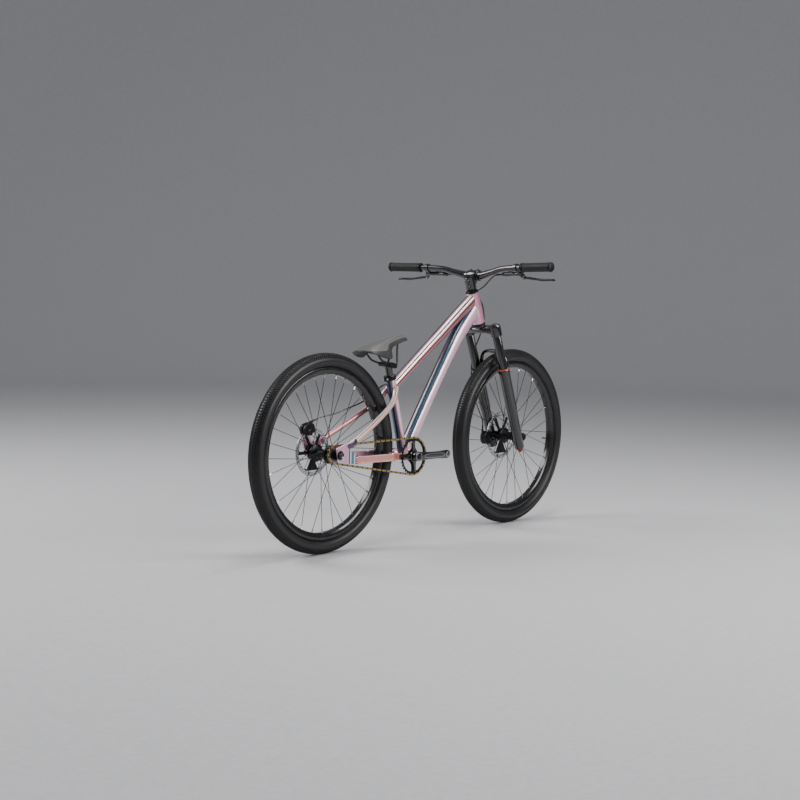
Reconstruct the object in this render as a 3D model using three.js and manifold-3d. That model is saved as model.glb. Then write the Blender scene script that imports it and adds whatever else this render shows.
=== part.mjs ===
// A dirt jump bike: a rigid frame with 26 inch wheels, a suspension fork, one gear and two hydraulic
// disc brakes. Millimetres. X points forward, Y to the rider's left, Z up. The floor is at zero and
// the origin lies midway between the two axles.
import * as THREE from 'three';
import { mergeVertices } from 'three/addons/utils/BufferGeometryUtils.js';
import Module from 'manifold-3d';

const wasm = await Module();
wasm.setup();

// Clearances shared by all pieces
const fitGap = 0.3;
const cutOverrun = 4;
const weldDistance = 0.0005;
const degree = Math.PI / 180;

// Wheels
const beadSeatRadius = 279.5;
const beadThickness = 3.6;
const tyreHalfSection = 27;
const tyreBeadRise = 0.5;
const tyreRadius = beadSeatRadius + tyreBeadRise + 2 * tyreHalfSection;
const rimFlangeHeight = 6.5;
const rimEdgeRadius = beadSeatRadius + rimFlangeHeight;
const rimHalfWidth = 16;
const rimLip = 3.5;
const rimDepth = 17.5;
const rimBedRadius = beadSeatRadius - rimDepth;
const rimBedHalfWidth = 11;
const rimWall = 2.4;
const valveHoleRadius = 4;
const wheelFacets = 28;
const spokeRadius = 1.1;
const spokesPerFlange = 16;
const spokeWrapAngle = 45 * degree;
const hubFlangeRadius = 30;
const hubFlangeThickness = 3;
const hubShellRadius = 15;
const rotorSeatRadius = 21;
const rotorSpigotRadius = 16.5;
const rotorThickness = 1.9;
const rotorBrakeBand = 15;
const rotorArms = 6;
const rotorArmHalfWidth = 4;
const runningGap = 1.2;

// Bottom bracket and chain line
const bracketRadius = 22;
const bracketWall = 3.5;
const bracketHalfWidth = 36.5;
const bracketCupRadius = 22;
const bracketCupWidth = 8;
const chainCupGap = 2.5;
const chainLine = bracketHalfWidth + bracketCupWidth + chainCupGap;

// Rear wheel
const chainDropoutGap = 20.5;
const rearDropoutSpacing = 2 * (chainLine + chainDropoutGap);
const rearRotorInset = 15.5;
const rearRotorOffset = rearDropoutSpacing / 2 - rearRotorInset;
const rearFlangeInset = 18;
const rearFlangeLeft = rearRotorOffset - rearFlangeInset;
const rearFlangeRight = 26;
const rearRotorRadius = 80;
const rearAxleRadius = 5;
const rearCollarRadius = 9;
const rearCollarLength = 11;
const rearBoltHeadRadius = 11;
const rearBoltHeadHeight = 8;
const driverRadius = 17;

// Front wheel
const frontDropoutSpacing = 100;
const frontRotorInset = 10.5;
const frontRotorOffset = frontDropoutSpacing / 2 - frontRotorInset;
const frontFlangeInset = 17.5;
const frontFlangeLeft = frontRotorOffset - frontFlangeInset;
const frontFlangeRight = 34;
const frontRotorRadius = 90;
const frontAxleRadius = 7.5;
const frontAxleHeadRadius = 11;
const frontAxleHeadHeight = 5;

// Drive
const chainPitch = 12.7;
const chainringTeeth = 32;
const cogTeeth = 14;
const toothHeight = 2.7;
const toothThickness = 2.4;
const chainHalfHeight = 4.6;
const chainHalfWidth = 4.2;
const chainBack = 1.5;
const chainSideGap = 0.6;
const chainringBandWidth = 10;
const chainringHubRadius = 22;
const chainringArmHalfWidth = 6;
const chainringArms = 4;
const crankLength = 152;
const crankAxleRadius = 12;
const crankAxleWall = 2.5;
const crankBossRadius = 17.5;
const crankTipRadius = 15.5;
const crankChainGap = 10;
const crankBossInner = chainLine + crankChainGap;
const crankBossThickness = 17;
const crankTipOffset = 12;
const crankTipThickness = 14;
const crankPocketDepth = 2.5;
const crankPocketHalfWidth = 6;
const pedalHoleRadius = 7.1;

// Frame layout seen from the side
const tyreBracketGap = 51.2591;
const chainstayLength = tyreRadius + tyreBracketGap + bracketRadius;
const bracketDrop = 32;
const bracketHeight = tyreRadius - bracketDrop;
const rearReach = Math.sqrt(chainstayLength ** 2 - bracketDrop ** 2);
const frontReach = 631;
const wheelbase = rearReach + frontReach;
const seatAngle = 74.1 * degree;
const seatTubeLength = 293;
const topTubeSeatDrop = 42.4;
const topTubeSeatHeight = seatTubeLength - topTubeSeatDrop;
const headAngle = 69 * degree;
const forkOffset = 42;
const headTubeLength = 119;
const topTubeHeadDrop = 20.4;
const topTubeHeadRise = headTubeLength - topTubeHeadDrop;
const downTubeHeadRise = 59.2;

// Frame tubes
const headTubeRadius = 23.5;
const headTubeWall = 3;
const seatpostRadius = 13.6;
const seatTubeWall = 3.1;
const seatTubeRadius = seatpostRadius + fitGap + seatTubeWall;
const frameWall = 2;
const topTubeHeadHeight = 47;
const topTubeSeatEndHeight = 35;
const topTubeHeadWidth = 38;
const topTubeSeatWidth = 33;
const downTubeHeight = 61;
const downTubeWidth = 45;
const downTubeBow = 21;
const stayWall = 2;
const seatstayRadius = 9.8;
const seatstaySag = 21;
const seatstayTopHalfGap = 17;
const chainstayTyreGap = 1;
const chainstayBracketHalfGap = tyreHalfSection + chainstayTyreGap;
const chainstayEndHalfHeight = 10;
const chainstayHalfHeight = 13.5;
const chainstayHalfWidth = 8;
const chainstayThinHalfWidth = 5.5;
const dropoutThickness = 8;
const dropoutLength = 84;
const dropoutHeight = 46;
const seatstayEndInset = 26;
const seatstayEndAhead = dropoutLength - seatstayEndInset;
const seatstayEndDrop = 12;
const seatstayEndAbove = dropoutHeight - seatstayEndDrop;
const chainstayEndInset = 8;
const chainstayEndAhead = dropoutLength - chainstayEndInset;
const chainstayEndBelow = 20;
const brakeTabMargin = 12;
const brakeTabHeight = rearRotorRadius + brakeTabMargin;
const clampRingLength = 15;
const clampRingWall = 4;
const clampRingGap = 2;

// Seat
const seatpostWall = 2.2;
const seatpostInsertion = 110;
const seatpostExposed = 43;
const clampBlockLength = 44;
const clampBlockHeight = 20;
const clampBlockHalfWidth = 28;
const railRadius = 3.5;
const railHalfGap = 22;
const railSlope = 14 * degree;
const saddleLength = 224;
const saddleHalfWidth = 68;
const saddleHeight = 54;
const saddleThickness = 12;
const saddleChannelDepth = 2.5;
const saddleTilt = 12 * degree;
const saddleRise = 74.853;
const saddleSetForward = 10.456;

// Fork, measured along and across the steering axis from its foot beside the front axle
const legFacets = 12;
const legSpread = 13;
const legHalfSpacing = frontDropoutSpacing / 2 + legSpread;
const legSetForward = 12;
const legLugThickness = 17.5;
const legLugRadius = 16;
const archForward = 47;
const archHalfThickness = 6.5;
const archHalfDepth = 7.5;
const archTyreGap = 9;
const archHeight = tyreRadius + archTyreGap + archHalfThickness;
const archRise = 59.5;
const forkTravel = 100;
const stanchionRadius = 16;
const stanchionWall = 2.2;
const stanchionOverlap = 144;
const lowerLegWall = 2.3;
const lowerLegThinRadius = stanchionRadius + fitGap + lowerLegWall;
const lowerLegFlare = 2.4;
const lowerLegRadius = lowerLegThinRadius + lowerLegFlare;
const lowerLegTop = archHeight - archRise;
const lowerLegUpperLength = 160;
const lowerLegShoulder = lowerLegTop - lowerLegUpperLength;
const legFootDepth = 18;
const lowerLegFoot = -legLugRadius - legFootDepth;
const stanchionFoot = lowerLegTop - stanchionOverlap;
const bottomOutGap = 6;
const lowerBoreFloor = stanchionFoot - forkTravel - bottomOutGap;
const crownCollarGap = 36;
const crownCollarFoot = lowerLegTop + forkTravel + crownCollarGap;
const crownCollarDrop = 15;
const crownBridgeFoot = crownCollarFoot + crownCollarDrop;
const crownBridgeHeight = 27;
const crownCollarTop = crownBridgeFoot + crownBridgeHeight;
const crownCollarWall = 5.2;
const crownCollarRadius = stanchionRadius + fitGap + crownCollarWall;
const crownBridgeHalfDepth = 20;
const stanchionProud = 1;
const stanchionTop = crownCollarTop + stanchionProud;
const stanchionCapRadius = 12;
const stanchionCapHeight = 3;
const knobRadius = 7.5;
const knobHeight = 13;

// Steering column and headset
const steererRadius = 14.3;
const steererWall = 2.4;
const crownRaceRadius = 21;
const crownRaceHeight = 1.9;
const lowerCupHeight = 10.5;
const upperCupHeight = 7.5;
const cupRadius = 24.5;
const lowerCupFoot = crownCollarTop + crownRaceHeight + fitGap;
const headTubeStart = lowerCupFoot + lowerCupHeight + fitGap;
const upperCupTop = headTubeStart + headTubeLength + fitGap + upperCupHeight;
const spacerHeight = 7.6;
const spacerWall = 2.9;
const spacerRadius = steererRadius + fitGap + spacerWall;
const spacerTop = upperCupTop + spacerHeight + 2 * fitGap;
const topCapHeight = 4;
const topCapRadius = 17;

// Stem and handlebar
const stemHeight = 46;
const stemTop = spacerTop + stemHeight;
const steererInset = 3;
const steererTop = stemTop - steererInset;
const stemClampRadius = 19.5;
const stemReach = 32;
const stemBarDrop = 7;
const stemBarHeight = stemTop - stemBarDrop;
const barClampRadius = 15.9;
const barRadius = 11.1;
const barWall = 1.8;
const barHalfWidth = 368;
const barRise = 43;
const barSweep = 28.4;
const barCollarRadius = 20.6;
const stemBarHalfWidth = 24;
const gripLength = 136;
const gripRadius = 16.4;
const gripCollarRadius = 17.6;
const gripCollarLength = 12;
const gripEndWall = 4;

// Brakes
const brakeGripGap = 26;
const brakeClampPlace = barHalfWidth - gripLength - brakeGripGap;
const brakeClampRadius = 15.2;
const brakeClampHalfWidth = 7;
const masterDrop = 26;
const masterRadius = 8.6;
const masterInnerLength = 82;
const masterOuterLength = 14;
const reservoirHalfWidth = 8;
const reservoirLength = 34;
const leverPivotOut = 14;
const leverPivotDrop = 42;
const leverPinRadius = 2.5;
const leverRootRadius = 7;
const leverRootHalfHeight = 4;
const leverEarThickness = 3;
const leverEarMargin = 1;
const leverReach = 138;
const leverDrop = 18;
const leverBladeHalfDepth = 4.2;
const leverBladeHalfHeight = 5.5;
const brakeTurn = 16 * degree;
const caliperDepth = 38;
const caliperHalfLength = 25;
const caliperInnerDepth = 11;
const rearCaliperOverlap = 16;
const rearCaliperInner = rearRotorRadius - rearCaliperOverlap;
const rearCaliperAngle = 107 * degree;
const frontCaliperOverlap = 18;
const frontCaliperInner = frontRotorRadius - frontCaliperOverlap;
const frontCaliperAngle = 162 * degree;
const frontCaliperInside = frontRotorOffset - caliperInnerDepth;
const frontCaliperOuterDepth = 16.5;
const frontCaliperOutside = frontRotorOffset + frontCaliperOuterDepth;
const postHalfWidth = 5.5;
const postSpacing = 14;
const hoseRadius = 2.5;
const frontHoseSteps = 26;
const rearHoseSteps = 46;

// Finishes
const finish = (color, roughness, metalness) =>
  new THREE.MeshStandardMaterial({ color, roughness, metalness });
const looks = {
  paint: () => finish(0xc9a0b4, 0.22, 0.35),
  tyre: () => finish(0x1b1c1e, 0.82, 0),
  rubber: () => finish(0x26272a, 0.75, 0),
  black: () => finish(0x121214, 0.35, 0.6),
  gloss: () => finish(0x0e0e10, 0.2, 0.5),
  steel: () => finish(0xa9abb0, 0.32, 1),
  chain: () => finish(0xb99a63, 0.38, 1),
  silver: () => finish(0xb7bbc2, 0.25, 1),
  red: () => finish(0x9c1f1c, 0.35, 0.6),
  hose: () => finish(0x0b0b0c, 0.3, 0),
  saddle: () => finish(0x6b6862, 0.55, 0),
};

// Points and placings
const v3 = (x, y, z) => new THREE.Vector3(x, y, z);
const v2 = (x, y) => new THREE.Vector2(x, y);
const mix = THREE.MathUtils.lerp;
const counted = (count) => [...Array(count).keys()];

// Builds a solid from a closed three.js geometry and turns its faces outward.
function solidOf(geometry) {
  const bare = new THREE.BufferGeometry();
  const flat = geometry.index ? geometry.toNonIndexed() : geometry;
  bare.setAttribute('position', flat.attributes.position.clone());
  const welded = mergeVertices(bare, weldDistance);
  const spots = welded.attributes.position;
  const corner = (k) => v3().fromBufferAttribute(spots, k);
  const faces = [];
  let volume = 0;
  for (let k = 0; k < welded.index.count; k += 3) {
    const [a, b, c] = [0, 1, 2].map((step) => welded.index.getX(k + step));
    if (a !== b && b !== c && c !== a) {
      faces.push([a, b, c]);
      volume += corner(a).dot(corner(b).cross(corner(c)));
    }
  }
  const outward = volume < 0 ? faces.map(([a, b, c]) => [a, c, b]) : faces;
  const vertProperties = new Float32Array(spots.array);
  const triVerts = new Uint32Array(outward.flat());
  return new wasm.Manifold(new wasm.Mesh({ numProp: 3, vertProperties, triVerts }));
}

function geometryOf(solid) {
  const mesh = solid.getMesh();
  const geometry = new THREE.BufferGeometry();
  geometry.setAttribute('position', new THREE.BufferAttribute(new Float32Array(mesh.vertProperties), 3));
  geometry.setIndex(new THREE.BufferAttribute(new Uint32Array(mesh.triVerts), 1));
  geometry.computeVertexNormals();
  return geometry;
}

const joined = (...solids) => solids.reduce((whole, solid) => whole.add(solid));
const cut = (solid, ...tools) => tools.reduce((rest, tool) => rest.subtract(tool), solid);

// Places a named piece in a group.
function piece(parent, name, solid, look) {
  const mesh = new THREE.Mesh(geometryOf(solid), look());
  mesh.name = name;
  parent.add(mesh);
  return mesh;
}

// The same solid seen in the mirror across the bike's middle plane.
function mirrored(solid) {
  const geometry = geometryOf(solid);
  geometry.scale(1, -1, 1);
  return solidOf(geometry);
}

const moved = (solid, matrix) => solidOf(geometryOf(solid).applyMatrix4(matrix));
const shift = (x, y, z) => new THREE.Matrix4().makeTranslation(x, y, z);

// A full turn about the Y axis. Profile points are radius and place along Y.
function turned(profile, sides, firstAngle = 0) {
  const geometry = new THREE.LatheGeometry(profile.map(([r, y]) => v2(r, y)), sides, firstAngle);
  const spots = geometry.attributes.position;
  profile.forEach((_, k) => {
    const last = sides * profile.length + k;
    spots.setXYZ(last, spots.getX(k), spots.getY(k), spots.getZ(k));
  });
  return solidOf(geometry);
}

const turnedClosed = (profile, sides, firstAngle) => turned([...profile, profile[0]], sides, firstAngle);

// A round rod along Y from one place to another.
const disc = (radius, from, to, sides) => turned([[0, from], [radius, from], [radius, to], [0, to]], sides);

// A ring along Y.
const ring = (outer, inner, from, to, sides) =>
  turnedClosed([[inner, from], [outer, from], [outer, to], [inner, to]], sides);

// Rings along Z, for pieces around the steering axis.
const upright = (solid) => moved(solid, new THREE.Matrix4().makeRotationX(Math.PI / 2));

// A round rod between two points.
function rod(from, to, radius, sides) {
  const length = from.distanceTo(to);
  const geometry = new THREE.CylinderGeometry(radius, radius, length, sides);
  const along = to.clone().sub(from).normalize();
  geometry.applyQuaternion(new THREE.Quaternion().setFromUnitVectors(v3(0, 1, 0), along));
  const middle = from.clone().lerp(to, 0.5);
  return solidOf(geometry.translate(middle.x, middle.y, middle.z));
}

function block(low, high) {
  const size = high.clone().sub(low);
  const middle = low.clone().lerp(high, 0.5);
  return solidOf(new THREE.BoxGeometry(size.x, size.y, size.z).translate(middle.x, middle.y, middle.z));
}

// A plate whose outline is drawn in X and Z, between two places along Y.
function plate(outline, from, to, holes = []) {
  const shape = new THREE.Shape(outline.map(([x, z]) => v2(x, z)));
  shape.holes = holes.map((hole) => new THREE.Path(hole.map(([x, z]) => v2(x, z))));
  const geometry = new THREE.ExtrudeGeometry(shape, { depth: to - from, bevelEnabled: false });
  return solidOf(geometry.rotateX(Math.PI / 2).translate(0, to, 0));
}

const circle = (radius, sides, x = 0, z = 0) => counted(sides).map((k) => {
  const angle = 2 * Math.PI * (k + 0.5) / sides;
  return [x + radius * Math.cos(angle), z + radius * Math.sin(angle)];
});

// A round hole whose flats, not its corners, lie at the radius
const roundHole = (radius, sides) => circle(radius / Math.cos(Math.PI / sides), sides);

// An outline moved outward by a distance. Its points run anticlockwise.
function widened(outline, distance) {
  return outline.map(([x, z], k) => {
    const before = outline[(k + outline.length - 1) % outline.length];
    const after = outline[(k + 1) % outline.length];
    const [into, from] = [v2(x - before[0], z - before[1]), v2(after[0] - x, after[1] - z)];
    const normals = [into, from].map((edge) => v2(edge.y, -edge.x).normalize());
    const out = normals[0].clone().add(normals[1]).normalize();
    const reach = distance / out.dot(normals[0]);
    return [x + out.x * reach, z + out.y * reach];
  });
}

// The triangles that close a flat ring of points.
function capFaces(points, first) {
  const middle = points.reduce((sum, point) => sum.add(point), v3()).divideScalar(points.length);
  const normal = v3();
  points.forEach((point, k) => {
    const next = points[(k + 1) % points.length];
    normal.add(v3().crossVectors(point.clone().sub(middle), next.clone().sub(middle)));
  });
  const east = points[0].clone().sub(middle).normalize();
  const north = v3().crossVectors(normal, east).normalize();
  const flat = points.map((point) => {
    const arm = point.clone().sub(middle);
    return v2(arm.dot(east), arm.dot(north));
  });
  return THREE.ShapeUtils.triangulateShape(flat, []).map(([a, b, c]) => {
    const side = flat[b].clone().sub(flat[a]).cross(flat[c].clone().sub(flat[a]));
    return (side > 0 ? [a, b, c] : [a, c, b]).map((k) => first + k);
  });
}

// A closed skin over rings that hold the same count of points.
function skin(rings) {
  const count = rings[0].length;
  const faces = [];
  counted(rings.length - 1).forEach((row) => counted(count).forEach((k) => {
    const a = row * count + k;
    const b = row * count + (k + 1) % count;
    faces.push([a, b, b + count], [a, b + count, a + count]);
  }));
  capFaces(rings[0], 0).forEach(([a, b, c]) => faces.push([a, c, b]));
  capFaces(rings[rings.length - 1], count * (rings.length - 1)).forEach((face) => faces.push(face));
  const geometry = new THREE.BufferGeometry().setFromPoints(rings.flat());
  geometry.setIndex(faces.flat());
  return solidOf(geometry);
}

// Oval rings square to a path. Heights lie in the plane of the path and the up direction.
function ovalRings(line, grow) {
  const { points, heights, widths, sides, side } = line;
  return points.map((point, k) => {
    const before = points[Math.max(k - 1, 0)];
    const after = points[Math.min(k + 1, points.length - 1)];
    const ahead = after.clone().sub(before).normalize();
    const across = side.clone().addScaledVector(ahead, -ahead.dot(side)).normalize();
    const up = v3().crossVectors(ahead, across);
    return counted(sides).map((step) => {
      const angle = 2 * Math.PI * (step + 0.5) / sides;
      return point.clone()
        .addScaledVector(up, (heights[k] + grow) * Math.sin(angle))
        .addScaledVector(across, (widths[k] + grow) * Math.cos(angle));
    });
  });
}

const filled = (line, grow = 0) => skin(ovalRings(line, grow));

// The same line run past both of its ends
function overrun(line) {
  const points = line.points.map((point) => point.clone());
  const last = points.length - 1;
  points[0].addScaledVector(points[0].clone().sub(points[1]).normalize(), cutOverrun);
  points[last].addScaledVector(points[last].clone().sub(points[last - 1]).normalize(), cutOverrun);
  return { ...line, points };
}

// The room that a tube takes from its neighbours, and the bore inside it
const room = (line) => filled(overrun(line), fitGap);
const bore = (line, wall) => filled({ ...overrun(line), sides: Math.ceil(line.sides / 2) + 1 }, -wall);
const tube = (line, wall) => cut(filled(line), bore(line, wall));

// A line of oval sections: a few stations joined by a smooth curve.
function smoothLine(stations, steps, sides, side = v3(0, 1, 0)) {
  const track = new THREE.CatmullRomCurve3(stations.map(({ at }) => at));
  const swell = new THREE.CatmullRomCurve3(stations.map(({ height, width }) => v3(height, width, 0)));
  const shares = counted(steps + 1).map((k) => k / steps);
  const sizes = shares.map((share) => swell.getPoint(share));
  return {
    points: shares.map((share) => track.getPoint(share)),
    heights: sizes.map((size) => size.x),
    widths: sizes.map((size) => size.y),
    sides,
    side,
  };
}

function straightLine(from, to, heights, widths, sides, side = v3(0, 1, 0)) {
  return { points: [from, to], heights, widths, sides, side };
}

// A hose along hand-picked places: a round section carried along a smooth curve.
function hose(places, steps) {
  const route = new THREE.CatmullRomCurve3(places.map(([x, y, z]) => v3(x, y, z)));
  const section = new THREE.Shape(circle(hoseRadius, 8).map(([x, y]) => v2(x, y)));
  return solidOf(new THREE.ExtrudeGeometry(section, { steps, bevelEnabled: false, extrudePath: route }));
}

// Places
const rearAxlePlace = v3(-wheelbase / 2, 0, tyreRadius);
const frontAxlePlace = v3(wheelbase / 2, 0, tyreRadius);
const bracketPlace = v3(rearReach - wheelbase / 2, 0, bracketHeight);
const steerTilt = headAngle - Math.PI / 2;
const steerForward = v3(Math.cos(steerTilt), 0, -Math.sin(steerTilt));
const steerUp = v3(Math.sin(steerTilt), 0, Math.cos(steerTilt));
const steerFoot = frontAxlePlace.clone().addScaledVector(steerForward, -forkOffset);
const steerPoint = (forward, up) =>
  steerFoot.clone().addScaledVector(steerForward, forward).addScaledVector(steerUp, up);
const seatUp = v3(-Math.cos(seatAngle), 0, Math.sin(seatAngle));
const seatPoint = (height) => bracketPlace.clone().addScaledVector(seatUp, height);

const steerFrame = new THREE.Matrix4().makeRotationY(steerTilt).setPosition(steerFoot);
const seatFrame = new THREE.Matrix4().makeRotationY(seatAngle - Math.PI / 2).setPosition(bracketPlace);

const bike = new THREE.Group();
const groupAt = (parent, place, turn = 0) => {
  const group = new THREE.Group();
  group.position.copy(place);
  group.rotation.y = turn;
  parent.add(group);
  return group;
};

// Wheels: the tyre and the rim are turned from one set of facets, with a facet flat on the floor
const flatShare = 1 / Math.cos(Math.PI / wheelFacets);
const wheelTurn = (profile) =>
  turnedClosed(profile.map(([r, y]) => [r * flatShare, y]), wheelFacets, Math.PI / wheelFacets);
const bothSides = (half) => [...half, ...half.map(([r, y]) => [r, -y]).reverse()];

const treadShares = [[1, 0.36], [0.62, 0.95], [-0.55, 0.88]];
const casingShares = [[0.62, 0.8]];
const tyreMiddle = tyreRadius - tyreHalfSection;
const tyrePoint = ([out, side]) => [tyreMiddle + out * tyreHalfSection, side * tyreHalfSection];
const beadOuter = rimHalfWidth - rimLip - fitGap;
const tyreSolid = wheelTurn(bothSides([
  ...treadShares.map(tyrePoint),
  [rimEdgeRadius + 2 * fitGap, beadOuter],
  [beadSeatRadius + fitGap, beadOuter],
  [beadSeatRadius + fitGap, beadOuter - beadThickness],
  ...casingShares.map(tyrePoint),
]));

const rimOuter = wheelTurn([
  ...bothSides([
    [rimEdgeRadius, rimHalfWidth],
    [rimEdgeRadius, rimHalfWidth - rimLip],
    [beadSeatRadius, rimHalfWidth - rimLip],
  ]),
  [rimBedRadius, -rimBedHalfWidth],
  [rimBedRadius, rimBedHalfWidth],
]);
const rimChamber = wheelTurn(bothSides([
  [beadSeatRadius - rimWall, rimHalfWidth - rimWall],
  [rimBedRadius + rimWall, rimBedHalfWidth - rimWall],
]));
const valveHole = rod(
  v3(0, 0, rimBedRadius - cutOverrun),
  v3(0, 0, beadSeatRadius + cutOverrun),
  valveHoleRadius,
  8,
);
const rimSolid = cut(rimOuter, rimChamber, valveHole);

// Spokes of one flange: half of them lead and half trail, and each crosses two of the others.
// They are laid out flat and then leaned from the flange to the middle of the rim.
const spokeHub = hubFlangeRadius + spokeRadius + 2 * fitGap;
const spokeRim = rimBedRadius - 2 * fitGap;
const hubSpot = v2(spokeHub * Math.cos(spokeWrapAngle), spokeHub * Math.sin(spokeWrapAngle));
const spokeRun = v2(spokeRim, 0).sub(hubSpot);
function spokeSet(flange, firstAngle) {
  const side = Math.sign(flange);
  const spokes = counted(spokesPerFlange).map((k) => {
    const turn = k % 2 ? 1 : -1;
    const angle = firstAngle + 2 * Math.PI * k / spokesPerFlange;
    const lie = new THREE.BoxGeometry(spokeRun.length(), 2 * spokeRadius, 2 * spokeRadius)
      .rotateY(-turn * spokeRun.angle())
      .translate(hubSpot.x + spokeRun.x / 2, 0, turn * (hubSpot.y + spokeRun.y / 2));
    return solidOf(lie.rotateY(angle));
  });
  const geometry = geometryOf(joined(...spokes));
  const spots = geometry.attributes.position;
  counted(spots.count).forEach((k) => {
    const radius = Math.hypot(spots.getX(k), spots.getZ(k));
    const half = hubSpot.dot(spokeRun) / spokeRun.lengthSq();
    const start = (hubSpot.lengthSq() - radius ** 2) / spokeRun.lengthSq();
    const share = Math.sqrt(Math.max(0, half ** 2 - start)) - half;
    spots.setY(k, spots.getY(k) + mix(flange, side * spokeRadius * 2, share));
  });
  return solidOf(geometry);
}

function rotorSolid(radius, offset) {
  const windowInner = rotorSeatRadius + rotorArmHalfWidth;
  const windowOuter = radius - rotorBrakeBand;
  const windows = counted(rotorArms).map((k) => {
    const middle = 2 * Math.PI * k / rotorArms;
    const half = (r) => Math.PI / rotorArms - Math.asin(rotorArmHalfWidth / r);
    const spot = (r, share) => [
      r * Math.cos(middle + share * half(r)),
      r * Math.sin(middle + share * half(r)),
    ];
    return [
      spot(windowInner, -1),
      spot(windowOuter, -1),
      spot(windowOuter, -1 / 3),
      spot(windowOuter, 1 / 3),
      spot(windowOuter, 1),
      spot(windowInner, 1),
    ];
  });
  const holes = [roundHole(rotorSpigotRadius + fitGap, 12), ...windows];
  return plate(circle(radius, 28), offset - rotorThickness / 2, offset + rotorThickness / 2, holes);
}

// A hub between its two flanges, with a seat and a spigot for the rotor on the left.
function hubSolid({ left, right, endLeft, endRight, rotorAt, axleRadius, rightRadius }) {
  const half = hubFlangeThickness / 2;
  const sides = 12;
  const boreRadius = (axleRadius + fitGap) / Math.cos(Math.PI / sides);
  return turnedClosed([
    [boreRadius, -endRight],
    [rightRadius, -endRight],
    [rightRadius, -right - half],
    [hubFlangeRadius, -right - half],
    [hubFlangeRadius, -right + half],
    [hubShellRadius, -right + half],
    [hubShellRadius, left - half],
    [hubFlangeRadius, left - half],
    [hubFlangeRadius, left + half],
    [rotorSeatRadius, left + half],
    [rotorSeatRadius, rotorAt - rotorThickness / 2 - fitGap],
    [rotorSpigotRadius, rotorAt - rotorThickness / 2 - fitGap],
    [rotorSpigotRadius, endLeft],
    [boreRadius, endLeft],
  ], sides);
}

// Rear wheel and its gear
const rearWheel = groupAt(bike, rearAxlePlace);
const rearHubEnd = rearDropoutSpacing / 2 - rearCollarLength - fitGap;
piece(rearWheel, 'rear_tyre', tyreSolid, looks.tyre);
piece(rearWheel, 'rear_rim', rimSolid, looks.black);
piece(rearWheel, 'rear_hub', hubSolid({
  left: rearFlangeLeft,
  right: rearFlangeRight,
  endLeft: rearHubEnd,
  endRight: rearHubEnd,
  rotorAt: rearRotorOffset,
  axleRadius: rearAxleRadius,
  rightRadius: driverRadius,
}), looks.black);
const halfSpokeStep = Math.PI / spokesPerFlange;
piece(rearWheel, 'rear_spokes_left', spokeSet(rearFlangeLeft, halfSpokeStep / 2), looks.black);
piece(rearWheel, 'rear_spokes_right', spokeSet(-rearFlangeRight, -halfSpokeStep / 2), looks.black);
piece(rearWheel, 'rear_rotor', rotorSolid(rearRotorRadius, rearRotorOffset), looks.steel);

// Front wheel
const frontWheel = groupAt(bike, frontAxlePlace);
const frontHubEnd = frontDropoutSpacing / 2;
piece(frontWheel, 'front_tyre', tyreSolid, looks.tyre);
piece(frontWheel, 'front_rim', rimSolid, looks.black);
piece(frontWheel, 'front_hub', hubSolid({
  left: frontFlangeLeft,
  right: frontFlangeRight,
  endLeft: frontHubEnd,
  endRight: frontHubEnd,
  rotorAt: frontRotorOffset,
  axleRadius: frontAxleRadius,
  rightRadius: hubShellRadius,
}), looks.black);
piece(frontWheel, 'front_spokes_left', spokeSet(frontFlangeLeft, halfSpokeStep / 2), looks.black);
piece(frontWheel, 'front_spokes_right', spokeSet(-frontFlangeRight, -halfSpokeStep / 2), looks.black);
piece(frontWheel, 'front_rotor', rotorSolid(frontRotorRadius, frontRotorOffset), looks.steel);

// Gears and chain
const pitchRadius = (teeth) => chainPitch / (2 * Math.sin(Math.PI / teeth));
function toothedOutline(teeth) {
  const root = pitchRadius(teeth) - toothHeight;
  const tip = pitchRadius(teeth) + toothHeight;
  const toothShares = [[-0.33, root], [0, tip], [0.33, root]];
  return counted(teeth).flatMap((k) => toothShares.map(([share, radius]) => {
    const angle = 2 * Math.PI * (k + share) / teeth;
    return [radius * Math.cos(angle), radius * Math.sin(angle)];
  }));
}

const gearRight = -chainLine - toothThickness / 2;
const gearLeft = -chainLine + toothThickness / 2;
piece(
  rearWheel,
  'rear_cog',
  plate(toothedOutline(cogTeeth), gearRight, gearLeft, [roundHole(driverRadius + fitGap, 14)]),
  looks.steel,
);

// The chain's loop round both gears, seen from the side, at a distance outside the pitch line.
const gearReach = rearAxlePlace.clone().sub(bracketPlace);
const ringPitchRadius = pitchRadius(chainringTeeth);
const cogPitchRadius = pitchRadius(cogTeeth);
const gearLineAngle = Math.atan2(gearReach.z, gearReach.x);
const tangentAngle = Math.acos((ringPitchRadius - cogPitchRadius) / gearReach.length());
function chainLoop(out) {
  const arc = (centre, radius, from, to, steps) => {
    const step = (to - from) / steps;
    const corner = (radius + out) / Math.cos(step / 2);
    return counted(steps).map((k) => {
      const angle = from + step * (k + 0.5);
      return [centre.x + corner * Math.cos(angle), centre.z + corner * Math.sin(angle)];
    });
  };
  const top = gearLineAngle - tangentAngle;
  const bottom = gearLineAngle + tangentAngle;
  return [
    ...arc(bracketPlace, ringPitchRadius, bottom - 2 * Math.PI, top, 16),
    ...arc(rearAxlePlace, cogPitchRadius, top, bottom, 10),
  ];
}
const chainGrooveHalfWidth = toothThickness / 2 + chainSideGap;
piece(bike, 'chain', cut(
  plate(
    chainLoop(chainHalfHeight),
    -chainLine - chainHalfWidth,
    -chainLine + chainHalfWidth,
    [chainLoop(-chainHalfHeight)],
  ),
  plate(
    chainLoop(chainHalfHeight - chainBack),
    -chainLine - chainGrooveHalfWidth,
    -chainLine + chainGrooveHalfWidth,
  ),
), looks.chain);

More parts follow.
